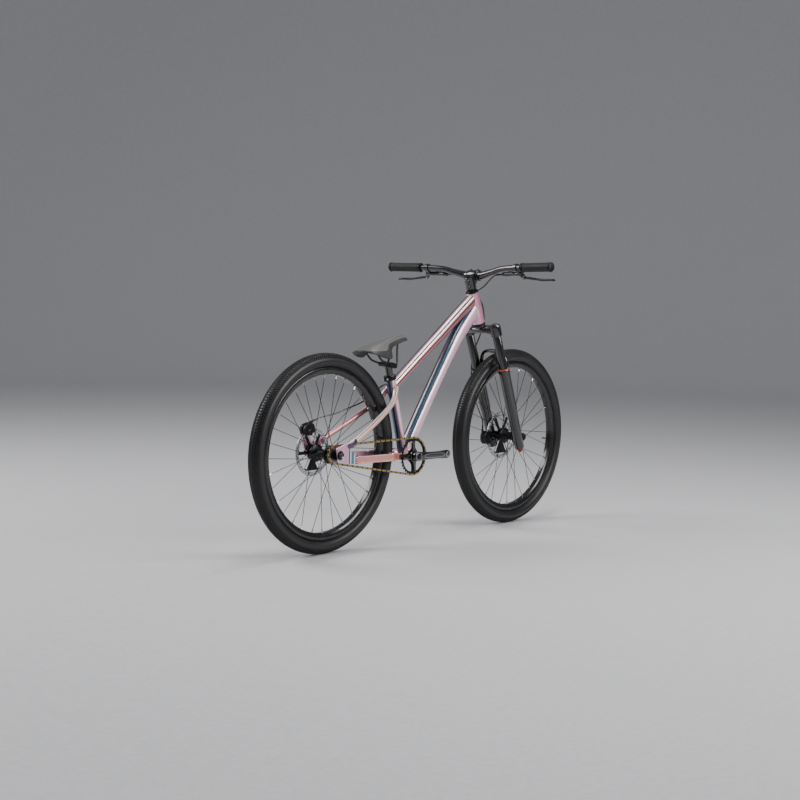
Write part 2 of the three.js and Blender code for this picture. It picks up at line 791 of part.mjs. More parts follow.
// Crank
const crank = groupAt(bike, bracketPlace);
const crankEnd = crankBossInner + crankBossThickness;
piece(crank, 'crank_axle', ring(
  crankAxleRadius,
  crankAxleRadius - crankAxleWall,
  -crankEnd + fitGap,
  crankEnd - fitGap,
  16,
), looks.steel);

const chainringWindowInner = chainringHubRadius + fitGap;
const chainringWindowOuter = ringPitchRadius - toothHeight - chainringBandWidth;
const chainringWindows = counted(chainringArms).map((k) => {
  const middle = 2 * Math.PI * (k + 0.5) / chainringArms;
  const spot = (radius, share) => {
    const half = Math.PI / chainringArms - Math.asin(chainringArmHalfWidth / radius);
    return [radius * Math.cos(middle + share * half), radius * Math.sin(middle + share * half)];
  };
  const outerShares = [-1, -0.5, 0, 0.5, 1];
  return [
    spot(chainringWindowInner, 1),
    spot(chainringWindowInner, 0),
    spot(chainringWindowInner, -1),
    ...outerShares.map((share) => spot(chainringWindowOuter, share)),
  ];
});
const chainringPlate = plate(toothedOutline(chainringTeeth), gearRight, gearLeft, chainringWindows);
const chainringHub = disc(chainringHubRadius, -crankBossInner + fitGap, gearLeft, 16);
const axleHole = disc(crankAxleRadius + fitGap, -crankEnd - cutOverrun, crankEnd + cutOverrun, 16);
piece(crank, 'chainring', cut(joined(chainringPlate, chainringHub), axleHole), looks.black);

// A crank arm leans outward toward the pedal end, between two flat round ends. Its sides run from
// the inner face at 0 to the outer face at 1.
function crankWeb(outline, from, to) {
  const geometry = geometryOf(plate(outline, from, to));
  const spots = geometry.attributes.position;
  counted(spots.count).forEach((k) => {
    const share = spots.getX(k) / crankLength;
    const thickness = mix(crankBossThickness, crankTipThickness, share);
    spots.setY(k, crankBossInner + spots.getY(k) * thickness + share * crankTipOffset);
  });
  return solidOf(geometry);
}
const crankTipInner = crankBossInner + crankTipOffset;
const crankTip = disc(crankTipRadius, crankTipInner, crankTipInner + crankTipThickness, 14);
const webShares = [
  [0, -0.9], [0.3, -0.78], [0.7, -0.8], [1, -0.85], [1, 0.85], [0.7, 0.8], [0.3, 0.78], [0, 0.9],
];
const pocketShares = [[0.28, -0.7], [0.74, -1], [0.74, 1], [0.28, 0.7]];
const alongCrank = (shares, halfHeight) =>
  shares.map(([along, high]) => [along * crankLength, high * halfHeight]);
const pocketFloorShare = 1 - crankPocketDepth / crankTipThickness;
const outsideShare = 1 + cutOverrun / crankTipThickness;
const pedalHole = disc(pedalHoleRadius, 0, 2 * crankEnd, 10);
const crankArm = cut(
  joined(
    disc(crankBossRadius, crankBossInner, crankEnd, 16),
    crankWeb(alongCrank(webShares, crankTipRadius), 0, 1),
    moved(crankTip, shift(crankLength, 0, 0)),
  ),
  crankWeb(alongCrank(pocketShares, crankPocketHalfWidth), pocketFloorShare, outsideShare),
  moved(pedalHole, shift(crankLength, 0, 0)),
  axleHole,
);
piece(crank, 'crank_arm_right', mirrored(crankArm), looks.gloss);
piece(crank, 'crank_arm_left', moved(crankArm, new THREE.Matrix4().makeRotationY(Math.PI)), looks.gloss);

// Frame: each tube is cut back from the one it meets
const headRod = (radius, overrunLength = 0) => moved(upright(disc(
  radius,
  headTubeStart - overrunLength,
  headTubeStart + headTubeLength + overrunLength,
  18,
)), steerFrame);
const headRoom = headRod(headTubeRadius + fitGap, cutOverrun);
piece(
  bike,
  'head_tube',
  cut(headRod(headTubeRadius), headRod(headTubeRadius - headTubeWall, cutOverrun)),
  looks.paint,
);

const atBracket = shift(bracketPlace.x, bracketPlace.y, bracketPlace.z);
const atRearAxle = shift(rearAxlePlace.x, rearAxlePlace.y, rearAxlePlace.z);
const bracketBore = bracketRadius - bracketWall;
piece(
  bike,
  'bb_shell',
  moved(ring(bracketRadius, bracketBore, -bracketHalfWidth, bracketHalfWidth, 16), atBracket),
  looks.paint,
);
const bracketRoom = moved(
  disc(bracketRadius + fitGap, -bracketHalfWidth - fitGap, bracketHalfWidth + fitGap, 16),
  atBracket,
);
const cupSolid = moved(ring(
  bracketCupRadius,
  crankAxleRadius + fitGap,
  bracketHalfWidth + fitGap,
  bracketHalfWidth + bracketCupWidth,
  16,
), atBracket);
piece(bike, 'bb_cup_left', cupSolid, looks.black);
piece(bike, 'bb_cup_right', mirrored(cupSolid), looks.black);

const inSeatFrame = (solid) => moved(solid, seatFrame);
const seatRod = (radius, from, to) => inSeatFrame(upright(disc(radius, from, to, 16)));
const seatRoom = seatRod(seatTubeRadius + fitGap, 0, seatTubeLength + cutOverrun);

const topTubeLine = straightLine(
  steerPoint(0, headTubeStart + topTubeHeadRise),
  seatPoint(topTubeSeatHeight),
  [topTubeHeadHeight / 2, topTubeSeatEndHeight / 2],
  [topTubeHeadWidth / 2, topTubeSeatWidth / 2],
  12,
);
piece(bike, 'top_tube', cut(tube(topTubeLine, frameWall), headRoom, seatRoom), looks.paint);
const topTubeRoom = room(topTubeLine);

// The down tube bows up and back from the straight line. Shares: along, bow, height, width.
const downTubeShares = [
  [0, 0, 0.79, 0.98],
  [0.12, 0.38, 0.79, 0.98],
  [0.48, 0.96, 0.76, 1],
  [0.775, 1, 0.9, 0.98],
  [0.95, 0.25, 1, 0.93],
  [1, 0, 1, 0.89],
];
const downTubeHead = steerPoint(0, headTubeStart + downTubeHeadRise);
const bowUp = v3().crossVectors(downTubeHead.clone().sub(bracketPlace), v3(0, 1, 0)).normalize();
const downTubeLine = smoothLine(downTubeShares.map(([along, bow, height, width]) => ({
  at: bracketPlace.clone().lerp(downTubeHead, along).addScaledVector(bowUp, bow * downTubeBow),
  height: height * downTubeHeight / 2,
  width: width * downTubeWidth / 2,
})), 8, 10);
// Where the two tubes meet, the down tube stops at the seat tube's middle plane
const behindSeatPlane = (gap) => inSeatFrame(block(
  v3(-2 * bracketRadius, -bracketHalfWidth, -2 * bracketRadius),
  v3(-gap, bracketHalfWidth, 2 * bracketRadius),
));
piece(
  bike,
  'down_tube',
  cut(tube(downTubeLine, frameWall), headRoom, topTubeRoom, bracketRoom, behindSeatPlane(0)),
  looks.paint,
);
piece(bike, 'seat_tube', cut(
  seatRod(seatTubeRadius, 0, seatTubeLength),
  seatRod(seatpostRadius + fitGap, -cutOverrun, seatTubeLength + cutOverrun),
  bracketRoom,
  cut(room(downTubeLine), behindSeatPlane(fitGap)),
), looks.paint);

// Dropouts: flat plates with a slot open to the rear. Shares of the plate's length and height.
const dropoutShares = [
  [-0.2, 0.5], [-0.06, -0.4], [0.33, -0.64], [0.99, -0.76], [0.95, -0.04],
  [0.52, 0.34], [0.84, 0.6], [0.68, 1], [0.27, 0.78],
];
const dropoutInner = rearDropoutSpacing / 2;
const dropoutOuter = dropoutInner + dropoutThickness;
const dropoutOutline = dropoutShares.map(([ahead, above]) =>
  [ahead * dropoutLength, above * dropoutHeight]);
const slotHalfHeight = rearAxleRadius + fitGap;
const dropoutPlate = plate(dropoutOutline, dropoutInner, dropoutOuter);
const axleSlot = joined(
  block(v3(-dropoutLength, 0, -slotHalfHeight), v3(0, 2 * dropoutOuter, slotHalfHeight)),
  disc(slotHalfHeight, 0, 2 * dropoutOuter, 12),
);
const caliperTurn = (angle) => new THREE.Matrix4().makeRotationY(-angle);
const brakeTabShares = [[0.1, 0.62], [0.98, 0.7], [0.98, -0.7], [0.1, -0.72]];
const brakeTab = moved(plate(
  brakeTabShares.map(([out, side]) => [out * brakeTabHeight, side * caliperHalfLength]),
  dropoutInner,
  dropoutOuter,
), caliperTurn(rearCaliperAngle));
const dropoutRight = mirrored(cut(dropoutPlate, axleSlot));
const dropoutLeft = cut(joined(dropoutPlate, brakeTab), axleSlot);
piece(bike, 'dropout_right', moved(dropoutRight, atRearAxle), looks.paint);
piece(bike, 'dropout_left', moved(dropoutLeft, atRearAxle), looks.paint);
const dropoutRoom = moved(plate(
  widened(dropoutOutline, fitGap),
  dropoutInner - fitGap,
  dropoutOuter + fitGap,
), atRearAxle);

// Stays: made on the left, seen in the mirror on the right
const stayPlane = (dropoutInner + dropoutOuter) / 2;
const seatstayFoot = rearAxlePlace.clone().add(v3(seatstayEndAhead, 0, seatstayEndAbove));
const seatstayHead = seatPoint(topTubeSeatHeight).add(v3(seatstayRadius / 2, 0, 0));
const seatstayUp = v3().crossVectors(seatstayHead.clone().sub(seatstayFoot), v3(0, 1, 0)).normalize();
const seatstayShares = [[0, 0, 1, 1], [0.5, -0.83, 0.69, 1], [0.83, -1, 0.33, 0.97], [1, 0, 0, 0.92]];
const seatstayLine = smoothLine(seatstayShares.map(([along, sag, spread, thick]) => {
  const at = seatstayFoot.clone().lerp(seatstayHead, along);
  at.addScaledVector(seatstayUp, sag * seatstaySag);
  at.y = mix(seatstayTopHalfGap, stayPlane, spread);
  return { at, height: thick * seatstayRadius, width: thick * seatstayRadius };
}), 6, 8);
const stayRooms = [seatRoom, topTubeRoom, bracketRoom, dropoutRoom, mirrored(dropoutRoom)];
const seatstay = tube(seatstayLine, stayWall);
piece(bike, 'seatstay_left', cut(seatstay, ...stayRooms), looks.paint);
piece(bike, 'seatstay_right', cut(mirrored(seatstay), ...stayRooms), looks.paint);

const chainstayFoot = rearAxlePlace.clone().add(v3(chainstayEndAhead, 0, -chainstayEndBelow));
const chainstayStations = [
  [0, 1, chainstayEndHalfHeight, chainstayHalfWidth],
  [0.35, 0.76, chainstayHalfHeight, chainstayHalfWidth],
  [0.64, 0.5, chainstayHalfHeight, chainstayHalfWidth],
  [0.72, 0.32, chainstayHalfHeight, chainstayThinHalfWidth],
  [0.78, 0.16, chainstayHalfHeight, chainstayThinHalfWidth],
  [0.886, 0, chainstayHalfHeight, chainstayThinHalfWidth],
  [1, 0, chainstayHalfHeight, chainstayThinHalfWidth],
];
const chainstayLine = smoothLine(chainstayStations.map(([along, spread, height, width]) => {
  const at = chainstayFoot.clone().lerp(bracketPlace, along);
  at.y = mix(chainstayBracketHalfGap, stayPlane, spread);
  return { at, height, width };
}), 8, 8);
const chainstay = tube(chainstayLine, stayWall);
piece(bike, 'chainstay_left', cut(chainstay, ...stayRooms), looks.paint);
piece(bike, 'chainstay_right', cut(mirrored(chainstay), ...stayRooms), looks.paint);

// Rear axle with its collars inside the dropouts and its bolt heads outside
const rearAxleHalf = [
  [rearAxleRadius, rearHubEnd + fitGap],
  [rearCollarRadius, rearHubEnd + fitGap],
  [rearCollarRadius, dropoutInner - fitGap],
  [rearAxleRadius, dropoutInner - fitGap],
  [rearAxleRadius, dropoutOuter + fitGap],
  [rearBoltHeadRadius, dropoutOuter + fitGap],
  [rearBoltHeadRadius, dropoutOuter + rearBoltHeadHeight],
  [0, dropoutOuter + rearBoltHeadHeight],
];
const rearAxle = turned([...rearAxleHalf.map(([r, y]) => [r, -y]).reverse(), ...rearAxleHalf], 10);
piece(bike, 'rear_axle', moved(rearAxle, atRearAxle), looks.black);

const pistonShare = 0.8;

// Brake calipers: the rotor runs in a slot. Local X points out from the axle.
function caliperSolid({ inner, inside, outside, rotorAt, rotorRadius }) {
  const body = block(
    v3(inner, inside, -caliperHalfLength),
    v3(inner + caliperDepth, outside, caliperHalfLength),
  );
  const pistonPlace = rotorRadius - rotorBrakeBand / 2;
  const piston = moved(
    disc(rotorBrakeBand * pistonShare, inside - rotorThickness, outside, 10),
    shift(pistonPlace, 0, 0),
  );
  const slot = block(
    v3(0, rotorAt - rotorThickness / 2 - runningGap, -2 * caliperHalfLength),
    v3(rotorRadius + runningGap, rotorAt + rotorThickness / 2 + runningGap, 2 * caliperHalfLength),
  );
  const portAt = inner + caliperDepth - 2 * hoseRadius;
  const portSide = (rotorAt + outside) / 2;
  const port = rod(
    v3(portAt, portSide, 0),
    v3(portAt, portSide, -caliperHalfLength - 3 * hoseRadius),
    1.6 * hoseRadius,
    6,
  );
  return cut(joined(body, piston, port), slot);
}
const rearCaliper = groupAt(bike, rearAxlePlace, -rearCaliperAngle);
piece(rearCaliper, 'rear_caliper', caliperSolid({
  inner: rearCaliperInner,
  inside: rearRotorOffset - caliperInnerDepth,
  outside: dropoutInner - fitGap,
  rotorAt: rearRotorOffset,
  rotorRadius: rearRotorRadius,
}), looks.black);

// Seat clamp: a split ring with two ears at the back
const clampInner = seatTubeRadius + fitGap;
const clampOuter = clampInner + clampRingWall;
const clampFoot = seatTubeLength - clampRingLength;
const clampEars = block(
  v3(-clampOuter - clampRingWall, -1.5 * clampRingWall, clampFoot),
  v3(-clampInner, 1.5 * clampRingWall, seatTubeLength),
);
const clampSlit = block(
  v3(-2 * clampOuter, -clampRingGap / 2, clampFoot - cutOverrun),
  v3(0, clampRingGap / 2, seatTubeLength + cutOverrun),
);
piece(bike, 'seat_clamp', cut(
  joined(seatRod(clampOuter, clampFoot, seatTubeLength), inSeatFrame(clampEars)),
  seatRod(clampInner, clampFoot - cutOverrun, seatTubeLength + cutOverrun),
  inSeatFrame(clampSlit),
), looks.black);

// Seatpost, saddle clamp, rails and saddle
const seatpostTop = seatTubeLength + seatpostExposed;
piece(bike, 'seatpost', cut(
  seatRod(seatpostRadius, seatTubeLength - seatpostInsertion, seatpostTop),
  seatRod(
    seatpostRadius - seatpostWall,
    seatTubeLength - seatpostInsertion - cutOverrun,
    seatpostTop - 3 * seatpostWall,
  ),
), looks.gloss);

const clampPlace = seatPoint(seatpostTop - railRadius);
const railFrame = new THREE.Matrix4().makeRotationY(railSlope).setPosition(clampPlace);
const seatForward = v3(Math.sin(seatAngle), 0, Math.cos(seatAngle));
const saddlePlace = seatPoint(seatpostTop + saddleRise).addScaledVector(seatForward, saddleSetForward);
const saddleFrame = new THREE.Matrix4().makeRotationY(-saddleTilt).setPosition(saddlePlace);

// The saddle's sections from tail to nose. Shares: along its length, crown height, half width,
// edge height and channel depth.
const saddleShares = [
  [-0.572, 0.02, 0.4, -0.1, 0],
  [-0.535, 0.09, 0.78, -0.22, 0],
  [-0.45, 0.165, 0.95, -0.45, 0.6],
  [-0.34, 0.205, 1, -0.68, 1],
  [-0.24, 0.205, 1, -0.77, 1],
  [-0.17, 0.195, 0.83, -0.56, 1],
  [-0.1, 0.19, 0.61, -0.36, 1],
  [-0.02, 0.2, 0.455, -0.29, 1],
  [0.09, 0.22, 0.35, -0.26, 0.8],
  [0.215, 0.233, 0.287, -0.24, 0.5],
  [0.32, 0.2, 0.25, -0.22, 0],
  [0.4, 0.11, 0.22, -0.23, 0],
  [0.45, -0.03, 0.16, -0.24, 0],
  [0.473, -0.15, 0.08, -0.23, 0],
];
const topShares = [1, 0.9, 0.74, 0.54, 0.34, 0.16, 0, -0.16, -0.34, -0.54, -0.74, -0.9, -1];
const underShares = [-0.93, -0.78, -0.56, -0.3, 0, 0.3, 0.56, 0.78, 0.93];
const domePower = 2.2;
const tuckShare = 0.2;
function saddleSolid(extra) {
  const rings = saddleShares.map(([along, crown, width, edge, channel]) => {
    const x = along * saddleLength;
    const half = width * saddleHalfWidth;
    const edgeZ = edge * saddleHeight;
    const rise = (crown - edge) * saddleHeight;
    const tuck = tuckShare * saddleThickness + extra;
    const top = topShares.map((share) => {
      const dome = 1 - Math.abs(share) ** domePower;
      const groove = Math.max(0, 1 - Math.abs(share) / 0.3) * channel * saddleChannelDepth;
      return v3(x, share * half, edgeZ + rise * dome - groove);
    });
    const under = underShares.map((share) => {
      const dome = 1 - Math.abs(share / underShares[0]) ** domePower;
      return v3(x, share * half, edgeZ - tuck + (rise - saddleThickness + tuck - extra) * dome);
    });
    return [...top, ...under];
  });
  return skin(rings);
}
const saddleGroup = groupAt(bike, saddlePlace, -saddleTilt);
piece(saddleGroup, 'saddle', saddleSolid(0), looks.saddle);

// Rails: places along the clamp, across and above it, in shares of the saddle's length and height
const railShares = [
  [-0.49, 1.22, 0.5],
  [-0.42, 1.18, 0.38],
  [-0.3, 1.1, 0.08],
  [-0.2, 1, 0],
  [0, 1, 0],
  [0.075, 1, 0],
  [0.1, 0.92, 0.3],
  [0.085, 0.62, 1.1],
  [0.08, 0.4, 1.82],
];
const railPath = new THREE.CatmullRomCurve3(railShares.map(([along, out, above]) =>
  v3(along * saddleLength, out * railHalfGap, above * saddleHeight)));
const railSides = 5;
const railSection = (grow) =>
  new THREE.Shape(circle(railRadius + grow, railSides).map(([x, y]) => v2(x, y)));
const railSolid = (grow) => moved(solidOf(new THREE.ExtrudeGeometry(railSection(grow), {
  steps: 11,
  bevelEnabled: false,
  extrudePath: railPath,
})), railFrame);
const railBridgeShares = [0.06, 0.94];
const railBridges = railBridgeShares.map((share) => railPath.getPoint(share)).map((end) =>
  moved(rod(end, v3(end.x, -end.y, end.z), railRadius, railSides), railFrame));
const leftRail = railSolid(0);
piece(
  bike,
  'saddle_rails',
  cut(joined(leftRail, mirrored(leftRail), ...railBridges), moved(saddleSolid(fitGap), saddleFrame)),
  looks.steel,
);
const railRoom = railSolid(fitGap / Math.cos(Math.PI / railSides));
const clampBlock = moved(block(
  v3(-clampBlockLength / 2, -clampBlockHalfWidth, -clampBlockHeight / 2),
  v3(clampBlockLength / 2, clampBlockHalfWidth, clampBlockHeight / 2),
), railFrame);
piece(bike, 'saddle_clamp', cut(
  clampBlock,
  seatRod(seatpostRadius + fitGap, seatTubeLength, seatpostTop + fitGap),
  railRoom,
  mirrored(railRoom),
), looks.black);

// Headset cups, fixed in the head tube. Local Z runs up the steering axis.
const headGroup = groupAt(bike, steerFoot, steerTilt);
const steererHole = steererRadius + fitGap;
const headTubeEnd = headTubeStart + headTubeLength;
const cup = (from, to) => upright(ring(cupRadius, steererHole, from, to, 16));
piece(headGroup, 'headset_lower_cup', cup(lowerCupFoot, headTubeStart - fitGap), looks.black);
piece(headGroup, 'headset_upper_cup', cup(headTubeEnd + fitGap, upperCupTop), looks.black);

// Steering assembly: crown, stanchions, stem, handlebar and controls
const steering = groupAt(bike, steerFoot, steerTilt);
const post = (radius, from, to, sides) => upright(disc(radius, from, to, sides));
const onBothLegs = (solid) => [-1, 1].map((side) =>
  moved(solid, shift(legSetForward, side * legHalfSpacing, 0)));
function slab(outline, from, to) {
  const shape = new THREE.Shape(outline.map(([x, y]) => v2(x, y)));
  const geometry = new THREE.ExtrudeGeometry(shape, { depth: to - from, bevelEnabled: false });
  return solidOf(geometry.translate(0, 0, from));
}
const crownShares = [[-1.1, -0.25], [-0.8, -0.54], [-0.45, -1], [1.65, -1], [1.65, -0.63], [1.35, -0.25]];
const crownHalf = crownShares.map(([ahead, side]) => [ahead * crownBridgeHalfDepth, side * legHalfSpacing]);
const crownOutline = [...crownHalf, ...crownHalf.map(([x, y]) => [x, -y]).reverse()];
const crownRaceTop = lowerCupFoot - fitGap;
const stanchionHole = post(
  stanchionRadius + fitGap,
  crownCollarFoot - cutOverrun,
  crownCollarTop + cutOverrun,
  legFacets,
);
piece(steering, 'fork_crown', cut(
  joined(
    slab(crownOutline, crownBridgeFoot, crownCollarTop),
    ...onBothLegs(post(crownCollarRadius, crownCollarFoot, crownCollarTop, legFacets)),
    post(crownRaceRadius, crownBridgeFoot, crownRaceTop, 16),
    post(steererRadius, crownBridgeFoot, steererTop, 16),
  ),
  post(steererRadius - steererWall, crownBridgeFoot - cutOverrun, steererTop + cutOverrun, 16),
  ...onBothLegs(stanchionHole),
), looks.black);

const stanchionBore = stanchionRadius - stanchionWall;
const stanchion = upright(turned([
  [0, stanchionTop + stanchionCapHeight],
  [stanchionCapRadius, stanchionTop + stanchionCapHeight],
  [stanchionCapRadius, stanchionTop],
  [stanchionRadius, stanchionTop],
  [stanchionRadius, stanchionFoot],
  [stanchionBore, stanchionFoot],
  [stanchionBore, stanchionTop - stanchionWall],
  [0, stanchionTop - stanchionWall],
], legFacets));
const [stanchionRight, stanchionLeft] = onBothLegs(stanchion);
piece(steering, 'stanchion_right', stanchionRight, looks.gloss);
piece(steering, 'stanchion_left', stanchionLeft, looks.gloss);

piece(steering, 'steering_spacer', upright(ring(
  spacerRadius,
  steererHole,
  upperCupTop + fitGap,
  spacerTop - fitGap,
  16,
)), looks.black);
const topCapFoot = stemTop + fitGap;
piece(steering, 'top_cap', post(topCapRadius, topCapFoot, topCapFoot + topCapHeight, 16), looks.black);

// Handlebar: rises and sweeps back on each side. Shares: along, sweep, rise, swell to the clamp.
const barShares = [
  [0.085, 0, 0, 1],
  [0.11, 0, 0.02, 0.9],
  [0.245, 0.11, 0.335, 0.22],
  [0.38, 0.14, 0.635, 0],
  [0.61, 0.42, 0.805, 0],
];
const barPlace = (along, sweep, rise) => v3(
  stemReach - sweep * barSweep,
  along * barHalfWidth,
  stemBarHeight + rise * barRise,
);
const barCurve = smoothLine(barShares.map(([along, sweep, rise, swell]) => {
  const radius = mix(barRadius, barClampRadius, swell);
  return { at: barPlace(along, sweep, rise), height: radius, width: radius };
}), 6, 8);
const barEnd = barPlace(1, 1, 1);
const barSidePoints = [...barCurve.points, barEnd];
const barSideRadii = [...barCurve.heights, barRadius];
const otherSide = (point) => v3(point.x, -point.y, point.z);
const barRadii = [...barSideRadii.slice().reverse(), ...barSideRadii];
const barLine = {
  points: [...barSidePoints.map(otherSide).reverse(), ...barSidePoints],
  heights: barRadii,
  widths: barRadii,
  sides: 8,
  side: v3(1, 0, 0),
};
piece(steering, 'handlebar', tube(barLine, barWall), looks.gloss);
const barRoom = filled(barLine, fitGap);

// The handlebar's middle line at a distance from the bike's middle plane
function barAt(y) {
  const next = barSidePoints.findIndex((point) => point.y > y);
  const after = barSidePoints[next];
  const before = barSidePoints[next - 1];
  return before.clone().lerp(after, (y - before.y) / (after.y - before.y));
}

// Stem and its faceplate
const barBarrel = moved(
  disc(barCollarRadius, -stemBarHalfWidth, stemBarHalfWidth, 16),
  shift(stemReach, 0, stemBarHeight),
);
const stemWeb = block(
  v3(0, -0.7 * stemBarHalfWidth, spacerTop + stemClampRadius / 3),
  v3(stemReach, 0.7 * stemBarHalfWidth, stemTop),
);
const aheadOfSplit = (gap) => block(
  v3(stemReach + gap, -2 * stemBarHalfWidth, stemBarHeight - 2 * barCollarRadius),
  v3(stemReach + 2 * barCollarRadius, 2 * stemBarHalfWidth, stemBarHeight + 2 * barCollarRadius),
);
const splitGap = 2 * fitGap;
const stemSlit = block(
  v3(-2 * stemClampRadius, -clampRingGap / 2, spacerTop - cutOverrun),
  v3(-steererRadius / 2, clampRingGap / 2, stemTop + cutOverrun),
);
piece(steering, 'stem', cut(
  joined(post(stemClampRadius, spacerTop, stemTop, 16), stemWeb, barBarrel),
  aheadOfSplit(0),
  barRoom,
  post(steererHole, spacerTop - cutOverrun, stemTop + cutOverrun, 16),
  stemSlit,
  post(topCapRadius + fitGap, stemTop, stemTop + topCapHeight + 2 * fitGap, 16),
), looks.gloss);
piece(
  steering,
  'stem_faceplate',
  cut(barBarrel.intersect(aheadOfSplit(splitGap)), barRoom),
  looks.gloss,
);

// Grips
const gripStart = barAt(barHalfWidth - gripLength);
const outward = barEnd.clone().sub(gripStart).normalize();
const gripSpot = (distance) => gripStart.clone().addScaledVector(outward, distance);
const barEndDistance = barEnd.distanceTo(gripStart);
const gripTip = gripSpot(barEndDistance + fitGap + gripEndWall);
const gripSides = 10;
const gripBoreRadius = (barRadius + fitGap) / Math.cos(Math.PI / gripSides);
const grip = cut(
  joined(
    rod(gripStart, gripTip, gripRadius, gripSides),
    rod(gripStart, gripSpot(gripCollarLength), gripCollarRadius, gripSides),
    rod(gripSpot(barEndDistance - gripCollarLength), gripTip, gripCollarRadius, gripSides),
  ),
  rod(gripSpot(-cutOverrun), gripSpot(barEndDistance + fitGap), gripBoreRadius, gripSides),
);
piece(steering, 'grip_left', grip, looks.rubber);
piece(steering, 'grip_right', mirrored(grip), looks.rubber);

// Brake master cylinders under the handlebar. Local Y runs out along the bar and local Z up from
// the lever to the bar.
const brakeSpot = barAt(brakeClampPlace);
const brakeOut = barAt(brakeClampPlace + brakeClampHalfWidth)
  .sub(barAt(brakeClampPlace - brakeClampHalfWidth)).normalize();
const brakeRise = v3(-Math.sin(brakeTurn), 0, Math.cos(brakeTurn));
const brakeUp = brakeRise.addScaledVector(brakeOut, -brakeRise.dot(brakeOut)).normalize();
const brakeAhead = v3().crossVectors(brakeOut, brakeUp);
const brakeFrame = new THREE.Matrix4().makeBasis(brakeAhead, brakeOut, brakeUp).setPosition(brakeSpot);
const earInner = leverRootHalfHeight + fitGap;
const earOuter = earInner + leverEarThickness;
const earReach = leverRootRadius + leverEarMargin;
const pivotEar = block(
  v3(earInner, leverPivotOut - earReach, -leverPivotDrop - leverRootRadius),
  v3(earOuter, leverPivotOut + leverRootRadius, -masterDrop),
);
const flipped = (solid) => moved(solid, new THREE.Matrix4().makeScale(-1, 1, 1));
const acrossPivot = new THREE.Matrix4().makeRotationZ(-Math.PI / 2);
acrossPivot.setPosition(0, leverPivotOut, -leverPivotDrop);
const leverPin = moved(disc(leverPinRadius, -earOuter, earOuter, 8), acrossPivot);
const atMaster = shift(0, 0, -masterDrop);
const masterBody = moved(disc(masterRadius, -masterInnerLength, masterOuterLength, 10), atMaster);
const masterPort = moved(disc(1.6 * hoseRadius, -masterInnerLength - 3 * hoseRadius, 0, 6), atMaster);
const reservoir = block(
  v3(0, -(masterInnerLength + reservoirLength) / 2, -masterDrop - reservoirHalfWidth),
  v3(2 * reservoirHalfWidth, -(masterInnerLength - reservoirLength) / 2, -masterDrop + reservoirHalfWidth),
);
const clampBand = disc(brakeClampRadius, -brakeClampHalfWidth, brakeClampHalfWidth, 10);
const clampNeck = block(
  v3(-brakeClampHalfWidth, -brakeClampHalfWidth, -masterDrop),
  v3(brakeClampHalfWidth, brakeClampHalfWidth, -barRadius),
);
const masterCylinder = cut(
  moved(
    joined(masterBody, masterPort, reservoir, clampBand, clampNeck, pivotEar, flipped(pivotEar), leverPin),
    brakeFrame,
  ),
  barRoom,
);
piece(steering, 'master_cylinder_left', masterCylinder, looks.black);
piece(steering, 'master_cylinder_right', mirrored(masterCylinder), looks.black);

// Brake levers: a root round the pin and a blade that runs out under the grip
const leverShares = [[0.02, 0.05, 1], [0.2, 0.3, 1], [0.6, 0.8, 0.9], [0.88, 0.85, 0.85], [1, 1, 0.8]];
const leverLine = smoothLine(leverShares.map(([out, down, size]) => ({
  at: v3(0, leverPivotOut + out * leverReach, -leverPivotDrop - down * leverDrop),
  height: size * leverBladeHalfHeight,
  width: size * leverBladeHalfDepth,
})), 7, 8, v3(1, 0, 0));
const leverRoot = moved(disc(leverRootRadius, -leverRootHalfHeight, leverRootHalfHeight, 12), acrossPivot);
const leverHole = moved(disc(leverPinRadius + fitGap, -2 * earOuter, 2 * earOuter, 8), acrossPivot);
const lever = moved(cut(joined(leverRoot, filled(leverLine)), leverHole), brakeFrame);
piece(steering, 'brake_lever_left', lever, looks.silver);
piece(steering, 'brake_lever_right', mirrored(lever), looks.silver);

// Fork lowers: two legs, lugs for the axle, an arch in front and the brake's posts on the left leg
const lowers = groupAt(bike, steerFoot, steerTilt);
const legShape = upright(turned([
  [0, lowerLegFoot],
  [0.8 * lowerLegThinRadius, lowerLegFoot],
  [lowerLegThinRadius, lowerLegFoot + 0.3 * lowerLegThinRadius],
  [lowerLegThinRadius, lowerLegShoulder - lowerLegThinRadius],
  [lowerLegRadius, lowerLegShoulder],
  [lowerLegRadius, lowerLegTop],
  [0, lowerLegTop],
], legFacets));
const lugInner = frontDropoutSpacing / 2 + fitGap;
const lugOuter = lugInner + legLugThickness;
const lugOutline = [
  [legSetForward, -1.7 * legLugRadius],
  ...counted(7).map((k) => {
    const angle = mix(-110, 110, k / 6) * degree;
    return [forkOffset + legLugRadius * Math.cos(angle), legLugRadius * Math.sin(angle)];
  }),
  [legSetForward, 2.8 * legLugRadius],
];
const lug = plate(lugOutline, lugInner, lugOuter);
const archShares = [
  [0.36, 0.96, 1.145],
  [0.9, 0.9, 0.558],
  [1, 0.63, 0.1175],
  [1, 0.3, 0],
  [1, 0, 0],
];
const archHalf = archShares.map(([ahead, side, drop]) => ({
  at: v3(
    mix(legSetForward + stanchionRadius, archForward, ahead),
    side * legHalfSpacing,
    archHeight - drop * archRise,
  ),
  height: archHalfThickness,
  width: archHalfDepth,
}));
const archWhole = [
  ...archHalf,
  ...archHalf.slice(0, -1).map((station) => ({ ...station, at: otherSide(station.at) })).reverse(),
];
const arch = filled(smoothLine(archWhole, 12, 8, v3(1, 0, 0)));
const frontCaliperFrame = caliperTurn(frontCaliperAngle).setPosition(forkOffset, 0, 0);
const brakePosts = [-1, 1].map((side) => moved(block(
  v3(frontCaliperInner / 2, frontCaliperOutside - 2 * postHalfWidth, side * postSpacing - postHalfWidth),
  v3(frontCaliperInner - fitGap, frontCaliperOutside, side * postSpacing + postHalfWidth),
), frontCaliperFrame));
